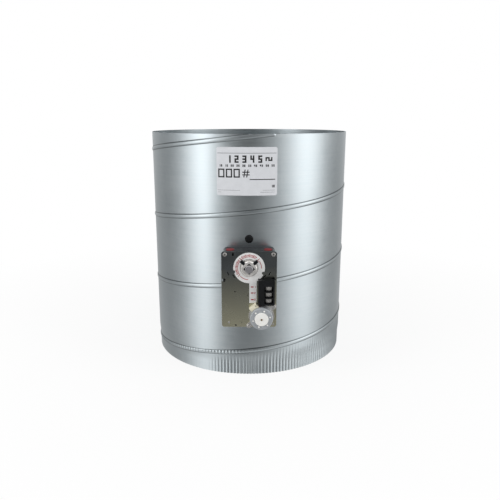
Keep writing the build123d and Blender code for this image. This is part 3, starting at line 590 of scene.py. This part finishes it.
def seam_edges(tree, size, turn):
    """Heights just below and just above the ridge on the seam's lowest winding."""
    climb = add(tree, MATH, turn, size["Seam pitch"], operation="MULTIPLY")
    first = add(tree, MATH, climb, size["Seam front"], operation="ADD")
    span = add(tree, MATH, size["Seam width"], ridge_span, operation="MULTIPLY")
    low = add(tree, MATH, first, span, operation="SUBTRACT")
    high = add(tree, MATH, first, span, operation="ADD")
    return low, high


def crimp_heights(tree, size, seam, share):
    """Heights of the crimped end's rows: below the seam, over it and above it."""
    rows = rows_below_seam + rows_over_seam + rows_above_seam
    low_part = rows_below_seam / rows
    high_part = (rows_below_seam + rows_over_seam) / rows
    kept = []
    for edge in seam:
        edge = add(tree, MATH, edge, 0.0, operation="MAXIMUM")
        kept.append(add(tree, MATH, edge, size["Crimp length"], operation="MINIMUM"))
    low_edge, high_edge = kept
    lowest = add(tree, RANGE, share, 0.0, low_part, 0.0, low_edge)
    middle = add(tree, RANGE, share, low_part, high_part, low_edge, high_edge)
    highest = add(tree, RANGE, share, high_part, 1.0, high_edge, size["Crimp length"])
    over = add(tree, MATH, share, low_part, operation="GREATER_THAN")
    beyond = add(tree, MATH, share, high_part, operation="GREATER_THAN")
    height = add(tree, MIX, {0: over, 2: lowest, 3: middle})
    return add(tree, MIX, {0: beyond, 2: height, 3: highest})


def bore_heights(tree, size, share):
    """Heights of the bore's rows: even as far as the crimps reach, then the plain end."""
    row = add(tree, MATH, share, (bore_rows + 1) / bore_rows, operation="MULTIPLY")
    low = add(tree, MATH, row, 1.0, operation="MINIMUM")
    low = add(tree, MATH, low, size["Crimp reach"], operation="MULTIPLY")
    last = add(tree, MATH, row, 1.0 + 0.5 / bore_rows, operation="GREATER_THAN")
    return add(tree, MIX, {0: last, 2: low, 3: size["Length"]})


def seam_ridge(tree, size, turn, height):
    """Ridge of the lock seam and the painted shade in its two folds, the upper one darker, by
    the height from the nearest winding of the seam."""
    rise = add(tree, MATH, height, size["Seam front"], operation="SUBTRACT")
    wound = add(tree, MATH, rise, size["Seam pitch"], operation="DIVIDE")
    nearest = add(tree, MATH, wound, turn, operation="SUBTRACT")
    nearest = add(tree, MATH, nearest, operation="ROUND")
    seam_turn = add(tree, MATH, nearest, turn, operation="ADD")
    apart = add(tree, MATH, wound, seam_turn, operation="SUBTRACT")
    apart = add(tree, MATH, apart, size["Seam pitch"], operation="MULTIPLY")
    distance = add(tree, MATH, apart, operation="ABSOLUTE")
    foot = add(tree, MATH, size["Seam width"], 0.5, operation="MULTIPLY")
    ratio = add(tree, MATH, distance, foot, operation="DIVIDE")
    ratio = add(tree, MATH, ratio, 1.0, operation="MINIMUM")
    ratio = add(tree, MATH, ratio, 2.0, operation="POWER")
    ratio = add(tree, MATH, 1.0, ratio, operation="SUBTRACT")
    ridge = add(tree, MATH, ratio, operation="SQRT")
    ridge = add(tree, MATH, ridge, size["Seam height"], operation="MULTIPLY")
    before_end = add(tree, MATH, seam_turn, size["Seam end"], operation="LESS_THAN")
    ridge = add(tree, MATH, ridge, before_end, operation="MULTIPLY")
    # Painted shade along both feet of the ridge, darker at the upper one
    from_foot = add(tree, MATH, distance, foot, operation="SUBTRACT")
    from_foot = add(tree, MATH, from_foot, operation="ABSOLUTE")
    line = add(tree, RANGE, from_foot, fold_shade_core, fold_shade_reach, 1.0, 0.0)
    shade_by_side = add(tree, RANGE, apart, -fold_shade_blend, fold_shade_blend, lower_fold_shade, 1.0)
    fold_shade = add(tree, MATH, line, shade_by_side, operation="MULTIPLY")
    fold_shade = add(tree, MATH, fold_shade, before_end, operation="MULTIPLY")
    return ridge, fold_shade


def crimp_wave(tree, size, turn):
    """Rounded wave from 0 to 1, one for each crimp."""
    phase = add(tree, MATH, turn, size["Crimps"], operation="MULTIPLY")
    phase = add(tree, MATH, phase, operation="FRACT")
    phase = add(tree, MATH, phase, 0.5, operation="SUBTRACT")
    phase = add(tree, MATH, phase, operation="ABSOLUTE")
    return add(tree, RANGE, phase, 0.0, 0.5, 0.0, 1.0, interpolation_type="SMOOTHSTEP")


def crimp_inset(tree, size, seam_low, turn, height, wave):
    """How far the crimped end is pressed in: waves that fade out below the seam and miss the
    nearly smooth stretch, and a taper that is even all round."""
    soft = {"interpolation_type": "SMOOTHSTEP"}
    behind = add(tree, RANGE, turn, *smooth_start, 1.0, 0.0, **soft)
    below_seam = add(tree, MATH, seam_low, crimp_least, operation="MAXIMUM")
    below_seam = add(tree, MATH, below_seam, size["Crimp reach"], operation="MINIMUM")
    top = add(tree, MIX, {0: behind, 2: below_seam, 3: size["Crimp reach"]})
    full = add(tree, MATH, top, crimp_full_share, operation="MULTIPLY")
    fade = add(tree, RANGE, height, full, top, 1.0, 0.0, **soft)
    beside = add(tree, RANGE, turn, *smooth_end, smooth_depth, 1.0, **soft)
    strength = add(tree, MATH, beside, behind, operation="MAXIMUM")
    pressed = add(tree, MATH, wave, size["Crimp depth"], operation="MULTIPLY")
    pressed = add(tree, MATH, pressed, fade, operation="MULTIPLY")
    pressed = add(tree, MATH, pressed, strength, operation="MULTIPLY")
    taper_low = add(tree, MATH, size["Crimp length"], taper_share, operation="MULTIPLY")
    taper = add(tree, RANGE, height, taper_low, size["Crimp length"], 1.0, 0.0, **soft)
    taper = add(tree, MATH, taper, size["Crimp slack"], operation="MULTIPLY")
    return add(tree, MATH, pressed, taper, operation="ADD")


def spiral_duct_tree(material, sizes):
    """Flat sheets of the wall laid out by turn, height and depth in the wall, then rolled to a
    tube whose radius follows the seam's ridge and the crimps."""
    tree, start, end = new_tree("spiral_duct", sizes)
    size = start.outputs
    spot = add(tree, "ShaderNodeSeparateXYZ", add(tree, "GeometryNodeInputPosition"))
    turn, height, depth = spot.outputs
    share = add(tree, MATH, height, 0.5, operation="ADD")
    columns = add(tree, MATH, size["Crimps"], columns_per_crimp, 1, operation="MULTIPLY_ADD")
    seam = seam_edges(tree, size, turn)

    # Rows, heights and wall depth of each sheet, and whether its faces are turned over
    end_rows = rows_below_seam + rows_over_seam + rows_above_seam
    sheets = (
        (end_rows, crimp_heights(tree, size, seam, share), 0.0, False),
        (windings * (ridge_rows + flat_rows), tube_heights(tree, size, turn, share), 0.0, False),
        (bore_rows + 1, bore_heights(tree, size, share), 1.0, True),
        (1, size["Length"], share, False),
        (1, 0.0, share, True),
    )
    joined = add(tree, "GeometryNodeJoinGeometry")
    for rows, level, layer, turned_over in sheets:
        grid = add(tree, "GeometryNodeMeshGrid", 1.0, 1.0, columns, rows + 1)
        place = add(tree, "ShaderNodeCombineXYZ", turn, level, layer)
        laid = add(tree, "GeometryNodeSetPosition", grid, {"Position": place})
        if turned_over:
            laid = add(tree, "GeometryNodeFlipFaces", laid)
        tree.links.new(laid.outputs[0], joined.inputs[0])

    # Radius of both faces of the wall, with beads where the crimping rolls crossed the ridge
    ridge, fold_shade = seam_ridge(tree, size, turn, height)
    wave = crimp_wave(tree, size, turn)
    inset = crimp_inset(tree, size, seam[0], turn, height, wave)
    near_end = add(tree, RANGE, height, size["Bead top"], size["Crimp length"], 0.0, bead_depth)
    bead = add(tree, MATH, wave, near_end, operation="MULTIPLY")
    bead = add(tree, MATH, 1.0, bead, operation="SUBTRACT")
    ridge = add(tree, MATH, ridge, bead, operation="MULTIPLY")
    outer = add(tree, MATH, size["Radius"], ridge, operation="ADD")
    outer = add(tree, MATH, outer, inset, operation="SUBTRACT")
    bore = add(tree, MATH, size["Radius"], size["Wall"], operation="SUBTRACT")
    bore = add(tree, MATH, bore, inset, operation="SUBTRACT")
    radius = add(tree, MIX, {0: depth, 2: outer, 3: bore})

    # Rolled to a tube, with the front at turn 0
    angle = add(tree, MATH, turn, 2 * pi, operation="MULTIPLY")
    side = add(tree, MATH, angle, operation="SINE")
    side = add(tree, MATH, side, radius, operation="MULTIPLY")
    ahead = add(tree, MATH, angle, operation="COSINE")
    ahead = add(tree, MATH, ahead, radius, operation="MULTIPLY")
    ahead = add(tree, MATH, ahead, -1.0, operation="MULTIPLY")
    rolled_place = add(tree, "ShaderNodeCombineXYZ", side, ahead, height)
    # Painted shade of the seam's folds, kept to the outer face
    outside = add(tree, MATH, 1.0, depth, operation="SUBTRACT")
    fold_shade = add(tree, MATH, fold_shade, outside, operation="MULTIPLY")
    marked = {"Name": "fold_shade", "Value": fold_shade}
    marked = add(tree, "GeometryNodeStoreNamedAttribute", joined, marked)
    rolled = add(tree, "GeometryNodeSetPosition", marked, {"Position": rolled_place})
    merged = add(tree, "GeometryNodeMergeByDistance", rolled, {"Distance": weld})

    # Smooth all over, apart from the rims
    smooth = add(tree, "GeometryNodeSetShadeSmooth", merged)
    bend = add(tree, "GeometryNodeInputMeshEdgeAngle")
    corner = add(tree, MATH, bend, sharp_edge, operation="GREATER_THAN")
    crisp = {"Selection": corner, "Shade Smooth": False}
    crisp = add(tree, "GeometryNodeSetShadeSmooth", smooth, crisp, domain="EDGE")
    real = add(tree, "GeometryNodeRealizeInstances", crisp)
    dressed = add(tree, "GeometryNodeSetMaterial", real, {"Material": material})
    tree.links.new(dressed.outputs[0], end.inputs[0])
    return tree


duct_sizes = {
    "Radius": skin_r,
    "Wall": duct_wall,
    "Length": duct_length,
    "Seam pitch": seam_pitch,
    "Seam width": seam_width,
    "Seam height": seam_height,
    "Seam front": seam_front_z,
    "Seam end": seam_end_turn,
    "Crimps": crimp_count,
    "Crimp length": crimp_length,
    "Crimp reach": crimp_reach,
    "Crimp depth": crimp_depth,
    "Crimp slack": crimp_slack,
    "Bead top": bead_top,
}
duct_tree = spiral_duct_tree(finishes["galvanised_steel"], duct_sizes)
duct = grown("spiral_duct_wall", duct_tree, duct_sizes)
settle(duct, finishes["galvanised_steel"], "root", "galvanised_steel", "duct_shell")


# Labels and their print

def strip(stations, low, high, depth):
    """Closed flat mesh, cut at each station across, from low(across) to high(across)."""
    corners = []
    for across in stations:
        for up, out in ((low, -1), (high, -1), (high, 1), (low, 1)):
            corners.append((across, up(across), out * depth / 2))
    faces = [(0, 3, 2, 1)]
    for column in range(len(stations) - 1):
        first = 4 * column
        for edge in range(4):
            after = (edge + 1) % 4
            faces.append((first + edge, first + after, first + 4 + after, first + 4 + edge))
    last = 4 * (len(stations) - 1)
    faces.append((last, last + 1, last + 2, last + 3))
    mesh = bpy.data.meshes.new("strip")
    mesh.from_pydata(corners, [], faces)
    mesh.update()
    return mesh


def spread(first, last, step):
    """Even stations from first to last, no further apart than the step."""
    count = max(1, ceil(abs(last - first) / step))
    return [first + (last - first) * i / count for i in range(count + 1)]


def bar(width, height):
    stations = spread(-width / 2, width / 2, ink_step)
    return strip(stations, lambda across: -height / 2, lambda across: height / 2, ink_depth)


def arc(radius, line, first, last):
    """Line of ink round the origin; angles in degrees, clockwise from the top."""
    stations = spread(radians(first), radians(last), ink_turn)
    mesh = strip(stations, lambda turn: -line / 2, lambda turn: line / 2, ink_depth)
    for vert in mesh.vertices:
        turn, out, depth = vert.co
        vert.co = ((radius + out) * sin(turn), (radius + out) * cos(turn), depth)
    return mesh


def numerals(number, height, line, across, up, turn=0.0):
    """Marks of block numerals centred on a spot of the label. Level bars run the full width,
    and the uprights fill the height that they leave."""
    width = 0.56 * height
    side, level = (width - line) / 2, (height - line) / 2
    levels = {"top": level, "middle": 0.0, "bottom": -level}
    uprights = {
        "upper left": (-side, "top", 1),
        "upper right": (side, "top", 1),
        "lower left": (-side, "bottom", -1),
        "lower right": (side, "bottom", -1),
    }
    left_out = {
        "0": ("middle",),
        "1": ("top", "middle", "bottom", "upper left", "lower left"),
        "2": ("upper left", "lower right"),
        "3": ("upper left", "lower left"),
        "4": ("top", "bottom", "lower left"),
        "5": ("upper right", "lower left"),
        "6": ("upper right",),
        "7": ("middle", "bottom", "upper left", "lower left"),
        "8": (),
        "9": ("lower left",),
    }
    marks = []
    pitch = width + 0.8 * line
    for index, numeral in enumerate(number):
        start = (index - (len(number) - 1) / 2) * pitch
        bars = []
        for name, rise in levels.items():
            if name not in left_out[numeral]:
                bars.append((width, line, 0.0, rise))
        for name, (x, end, way) in uprights.items():
            if name not in left_out[numeral]:
                inner = 0.0 if "middle" in left_out[numeral] else line / 2
                outer = height / 2 - (0.0 if end in left_out[numeral] else line)
                bars.append((line, outer - inner, x, way * (outer + inner) / 2))
        for wide, tall, x, rise in bars:
            spot = Matrix.Rotation(radians(-turn), 2) @ Vector((start + x, rise))
            marks.append((bar(wide, tall), across + spot.x, up + spot.y, turn))
    return marks


def hash_sign(height, line, across, up):
    """Marks of the sign for a number: two level bars and two leaning ones."""
    level_length, level_gap = height * 0.92, height * 0.17
    upright_gap, lean = height * 0.18, 10.0
    marks = []
    for way in (-1, 1):
        marks.append((bar(level_length, line), across, up + way * level_gap, 0.0))
        marks.append((bar(line, height), across + way * upright_gap, up, lean))
    return marks


def printed(name, place, ink, slot, marks):
    """Ink piece on the root; a mark is a mesh, its middle on the label and its turn."""
    shape = bmesh.new()
    for mesh, across, up, turn in marks:
        first = len(shape.verts)
        shape.from_mesh(mesh)
        shape.verts.ensure_lookup_table()
        for vert in shape.verts[first:]:
            spot = Matrix.Rotation(radians(-turn), 3, "Z") @ vert.co
            vert.co = place(across + spot.x, up + spot.y, spot.z)
    made = bpy.data.meshes.new(name)
    shape.to_mesh(made)
    shape.free()
    return settle(piece_from(made, name), ink, "root", slot)


def on_duct(across, up, out):
    """Spot on the sticker's face, wrapped round the duct."""
    radius = sticker_r + out
    return Vector((across, -sqrt(radius ** 2 - across ** 2), up))


def on_dial(across, up, out):
    return Vector((across, dial_front - out, up))


def sticker():
    """Sheet of the sticker with rounded corners, wrapped round the duct."""
    left, right = sticker_low.x, sticker_high.x
    low, high = sticker_low.z, sticker_high.z
    bends = [sticker_corner * (1 - cos(radians(turn))) for turn in range(0, 90, 15)]
    ends = [left + bend for bend in bends]
    ends += spread(left + sticker_corner, right - sticker_corner, ink_step)
    ends += [right - bend for bend in reversed(bends)]

    def cut(across):
        """Height that the corner takes from the sheet at a place across."""
        inside = sticker_corner - min(across - left, right - across, sticker_corner)
        return sticker_corner - sqrt(max(0.0, sticker_corner ** 2 - inside ** 2))

    mesh = strip(
        ends, lambda across: low + cut(across), lambda across: high - cut(across), sticker_sheet
    )
    for vert in mesh.vertices:
        vert.co = on_duct(vert.co.x, vert.co.y, vert.co.z - sticker_sheet / 2)
    mesh.name = "sticker_sheet"
    made = piece_from(mesh, "sticker_sheet")
    settle(made, finishes["white_paper"], "root", "white_paper", "data_label")


def sticker_print():
    """Zone numbers, a ruled scale, three write-in boxes, a write-on line and thin rules."""
    left, right = sticker_low.x, sticker_high.x
    middle, width, top = (left + right) / 2, right - left, sticker_high.z
    marks = []

    # Zone numbers, and one that lies on its side at the end of their row
    zone_level = top - 18.6 * MM
    zone_start, zone_pitch = left + 19.5 * MM, 12.4 * MM
    for index in range(5):
        across = zone_start + zone_pitch * index
        marks += numerals(str(index + 1), 11.5 * MM, 2.5 * MM, across, zone_level)
    marks += numerals("2", 11.0 * MM, 2.2 * MM, right - 13.5 * MM, zone_level, 90.0)

    # Small scale below them, and a small number near the corner
    scale_level = top - 28.8 * MM
    scale_start, scale_pitch = left + 6.6 * MM, 9.2 * MM
    for index in range(10):
        across = scale_start + scale_pitch * index
        marks += numerals(str(10 + 5 * index), 3.6 * MM, 0.95 * MM, across, scale_level)
    marks += numerals("10", 4.2 * MM, 1.1 * MM, right - 6.8 * MM, top - 61.3 * MM)

    # Boxes to write in, the sign for a number and the line after it
    box_width, box_height, line = 10.0 * MM, 14.0 * MM, 2.1 * MM
    box_start, box_pitch = left + 7.6 * MM, 12.2 * MM
    box_level = top - 40.6 * MM
    for index in range(3):
        box = box_start + box_pitch * index
        for way in (-1, 1):
            level = box_level + way * (box_height - line) / 2
            upright = box + way * (box_width - line) / 2
            marks.append((bar(box_width, line), box, level, 0.0))
            marks.append((bar(line, box_height - 2 * line), upright, box_level, 0.0))
    marks += hash_sign(12.5 * MM, 1.6 * MM, left + 46.6 * MM, top - 41.0 * MM)
    marks.append((bar(40.5 * MM, 1.4 * MM), right - 23.5 * MM, top - 50.4 * MM, 0.0))
    printed("sticker_figures", on_duct, black_ink, "white_paper", marks)

    # Rules: one right across under the head, and thin ones near the foot, each with its
    # length and its middle as shares of the width, and its drop from the top
    rules = [(bar(width - 3.5 * MM, 0.8 * MM), middle, top - 9.4 * MM, 0.0)]
    thin_rules = (
        (0.37, 0.2, 67.6 * MM), (0.2, 0.86, 67.6 * MM),
        (0.06, 0.045, 70.8 * MM), (0.24, 0.84, 70.8 * MM),
    )
    for share, across, drop in thin_rules:
        rule = bar(width * share, 0.45 * MM)
        rules.append((rule, left + width * across, top - drop, 0.0))
    printed("sticker_rules", on_duct, grey_ink, "white_paper", rules)


def tick_ring_tree(material, sizes):
    """Bars set round a centre, each pointing outwards, every third one longer."""
    tree, start, end = new_tree("tick_ring", sizes)
    size = start.outputs
    index = add(tree, "GeometryNodeInputIndex")
    turn = add(tree, MATH, index, size["Step"], size["First"], operation="MULTIPLY_ADD")
    third = add(tree, MATH, index, 3, operation="MODULO")
    short = add(tree, MATH, third, 0.5, operation="GREATER_THAN")
    reach = add(tree, MIX, {0: short, 2: 1.0, 3: size["Short share"]})
    side = add(tree, MATH, turn, operation="SINE")
    side = add(tree, MATH, side, size["Radius"], operation="MULTIPLY")
    rise = add(tree, MATH, turn, operation="COSINE")
    rise = add(tree, MATH, rise, size["Radius"], size["Centre height"], operation="MULTIPLY_ADD")
    spot = add(tree, "ShaderNodeCombineXYZ", side, size["Face"], rise)
    dots = add(tree, "GeometryNodePoints", size["Count"], spot)
    block = add(tree, "ShaderNodeCombineXYZ", size["Line"], size["Ink"], size["Long"])
    block = add(tree, "GeometryNodeMeshCube", block)
    aim = add(tree, "ShaderNodeCombineXYZ", 0.0, turn, 0.0)
    grow = add(tree, "ShaderNodeCombineXYZ", 1.0, 1.0, reach)
    copies = {"Instance": block, "Rotation": aim, "Scale": grow}
    copies = add(tree, "GeometryNodeInstanceOnPoints", dots, copies)
    real = add(tree, "GeometryNodeRealizeInstances", copies)
    dressed = add(tree, "GeometryNodeSetMaterial", real, {"Material": material})
    tree.links.new(dressed.outputs[0], end.inputs[0])
    return tree


def at_turn(radius, turn):
    """Place on a circle round the shaft; the turn in degrees, clockwise from the top."""
    return radius * sin(radians(turn)), shaft_z + radius * cos(radians(turn))


def dial_print():
    """Opening scale round the hub, brackets, thin arcs and three terminal marks."""
    sizes = {
        "Count": 12,
        "First": 0.0,
        "Step": radians(6),
        "Radius": 20.6 * MM,
        "Long": 3.6 * MM,
        "Short share": 0.66,
        "Line": 1.25 * MM,
        "Ink": ink_depth,
        "Face": dial_front,
        "Centre height": shaft_z,
    }
    scales = {"dial_ticks_left": -118, "dial_ticks_top": -33}
    tree = tick_ring_tree(red_ink, sizes)
    for name, first in scales.items():
        sizes["First"] = radians(first)
        settle(grown(name, tree, sizes), red_ink, "root", "white_paper")

    # Arcs: radius, line, and the turns where each starts and ends
    scale_foot = 18.2 * MM
    arcs = (
        (19.4 * MM, 1.0 * MM, -176, -134), (19.6 * MM, 1.0 * MM, 56, 92),
        (scale_foot, 0.8 * MM, -118, -52), (scale_foot, 0.8 * MM, -33, 33),
    )
    marks = []
    for radius, line, first, last in arcs:
        marks.append((arc(radius, line, first, last), 0.0, shaft_z, 0.0))

    # Brackets: a long bar that points outwards, with a short foot to one side
    for turn in (-128, -43, 47):
        marks.append((bar(1.0 * MM, 4.6 * MM), *at_turn(20.3 * MM, turn), turn))
        foot_turn = turn + 3
        marks.append((bar(2.4 * MM, 0.9 * MM), *at_turn(scale_foot, foot_turn), foot_turn))

    # Terminals: a bar and a number beside each clamp
    bar_place, number_place = 5.0 * MM, 9.2 * MM
    for index, drop in enumerate((31.4 * MM, 41.4 * MM, 52.6 * MM)):
        level = shaft_z - drop
        marks.append((bar(4.4 * MM, 1.9 * MM), bar_place, level, 0.0))
        marks += numerals(str(index + 1), 3.4 * MM, 0.7 * MM, number_place, level)
    printed("dial_figures", on_dial, red_ink, "white_paper", marks)


sticker()
sticker_print()
dial_print()


# Set screws of the hub

def clamp_screws():
    """Two black clamp screws in the hub's open slots, half way round to each side. They reach
    further in and up to the hub's front than real screws, so their black is partly painted shade
    that fills the open slots.
    """
    shape = bmesh.new()
    for turn in (-45, 45):
        block = bmesh.ops.create_cube(shape, size=1.0)["verts"]
        spin = Matrix.Rotation(radians(turn), 3, "Y")
        for vert in block:
            out = (clamp_from + clamp_to) / 2 + vert.co.z * (clamp_to - clamp_from)
            back = vert.co.y * clamp_depth + clamp_depth / 2 - clamp_proud
            spot = spin @ Vector((vert.co.x * clamp_width, 0.0, out))
            vert.co = (spot.x, hub_front + back, shaft_z + spot.z)
    bmesh.ops.bevel(
        shape, geom=shape.edges[:], offset=clamp_round, segments=3, profile=0.5, affect="EDGES"
    )
    for face in shape.faces:
        face.smooth = True
    mesh = bpy.data.meshes.new("clamp_screws")
    shape.to_mesh(mesh)
    shape.free()
    made = piece_from(mesh, "clamp_screws")
    settle(made, finishes["black_oxide"], "blade", "black_oxide", "hub_set_screws")


clamp_screws()


# Floor, lights and camera

def floor():
    """Pale floor that shows the object's soft shadow to the camera alone and fades to white."""
    mesh = bpy.data.meshes.new("floor")
    far = floor_reach
    corners = [(-far, -far, 0), (far, -far, 0), (far, far, 0), (-far, far, 0)]
    mesh.from_pydata(corners, [], [(0, 1, 2, 3)])
    made = piece_from(mesh, "studio_floor")
    for ray in ("diffuse", "glossy", "transmission", "shadow"):
        setattr(made, "visible_" + ray, False)
    material, tree, shader = surface("floor_white", "F4F4F4", 0.9)
    glow = add(tree, "ShaderNodeEmission", colour("FFFFFF"), 1.0)
    place = add(tree, "ShaderNodeTexCoord").outputs["Object"]
    away = add(tree, "ShaderNodeVectorMath", place, operation="LENGTH").outputs["Value"]
    share = add(tree, RANGE, away, *floor_fade, floor_white, 1.0)
    mixed = add(tree, "ShaderNodeMixShader", share, shader, glow)
    tree.links.new(mixed.outputs[0], tree.nodes["Material Output"].inputs[0])
    mesh.materials.append(material)


def softbox(name, azimuth, power, height, distance, width, tall):
    """Soft light that faces the object and isn't reflected; azimuth 0 is the camera's side."""
    lamp = bpy.data.lights.new(name, "AREA")
    lamp.shape = "RECTANGLE"
    lamp.size = width
    lamp.size_y = tall
    lamp.energy = power
    made = bpy.data.objects.new(name, lamp)
    bpy.context.scene.collection.objects.link(made)
    angle = radians(azimuth)
    made.location = (distance * sin(angle), -distance * cos(angle), height)
    aim = Vector((0, 0, lamp_aim)) - made.location
    made.rotation_euler = aim.to_track_quat("-Z", "Y").to_euler()
    made.visible_glossy = False


def studio():
    """World: white to the camera, a soft even light for everything, and for reflections a dark
    front, a tall bright panel at each side, a grey back, a pale table and a dim ceiling."""
    world = bpy.data.worlds.new("studio")
    bpy.context.scene.world = world
    world.use_nodes = True
    tree = world.node_tree
    tree.nodes.clear()
    way = add(tree, "ShaderNodeSeparateXYZ", add(tree, "ShaderNodeTexCoord").outputs["Generated"])
    ahead = add(tree, MATH, way.outputs[1], -1.0, operation="MULTIPLY")
    azimuth = add(tree, MATH, way.outputs[0], ahead, operation="ARCTAN2")
    share = add(tree, MATH, azimuth, 1 / (2 * pi), 0.5, operation="MULTIPLY_ADD")
    panels = add(tree, "ShaderNodeValToRGB", share)
    ramp = panels.color_ramp
    ramp.interpolation = "EASE"
    while len(ramp.elements) < len(panel_levels):
        ramp.elements.new(0.5)
    for element, (degrees, level) in zip(ramp.elements, panel_levels):
        element.position = 0.5 + degrees / 360
        element.color = (level, level, level, 1.0)
    height = way.outputs[2]
    shine = panels
    for band in panel_bands:
        part = add(tree, RANGE, height, *band)
        shine = add(tree, MATH, shine, part, operation="MULTIPLY")
    for band in (far_table, near_table, ceiling):
        part = add(tree, RANGE, height, *band)
        shine = add(tree, MATH, shine, part, operation="ADD")
    rays = add(tree, "ShaderNodeLightPath")
    level = add(tree, MIX, {0: rays.outputs["Is Glossy Ray"], 2: even_level, 3: shine})
    camera_ray, glass_ray = rays.outputs["Is Camera Ray"], rays.outputs["Is Transmission Ray"]
    seen = add(tree, MATH, camera_ray, glass_ray, operation="MAXIMUM")
    strength = add(tree, MIX, {0: seen, 2: level, 3: 1.0})
    light = add(tree, "ShaderNodeBackground", (1.0, 1.0, 1.0, 1.0), strength)
    add(tree, "ShaderNodeOutputWorld", light)


def camera():
    lens = bpy.data.cameras.new("photo_camera")
    lens.lens = camera_lens
    lens.sensor_width = camera_sensor
    lens.shift_x = camera_shift
    made = bpy.data.objects.new("photo_camera", lens)
    bpy.context.scene.collection.objects.link(made)
    made.location = camera_place
    made.rotation_euler = (radians(90 - camera_pitch), 0.0, 0.0)
    bpy.context.scene.camera = made


floor()
for name, azimuth, power in (("left_softbox", -62.0, 18.0), ("right_softbox", 62.0, 16.0)):
    softbox(name, azimuth, power, height=0.9, distance=1.8, width=0.8, tall=1.4)
studio()
camera()
bpy.context.scene.view_settings.view_transform = "Standard"
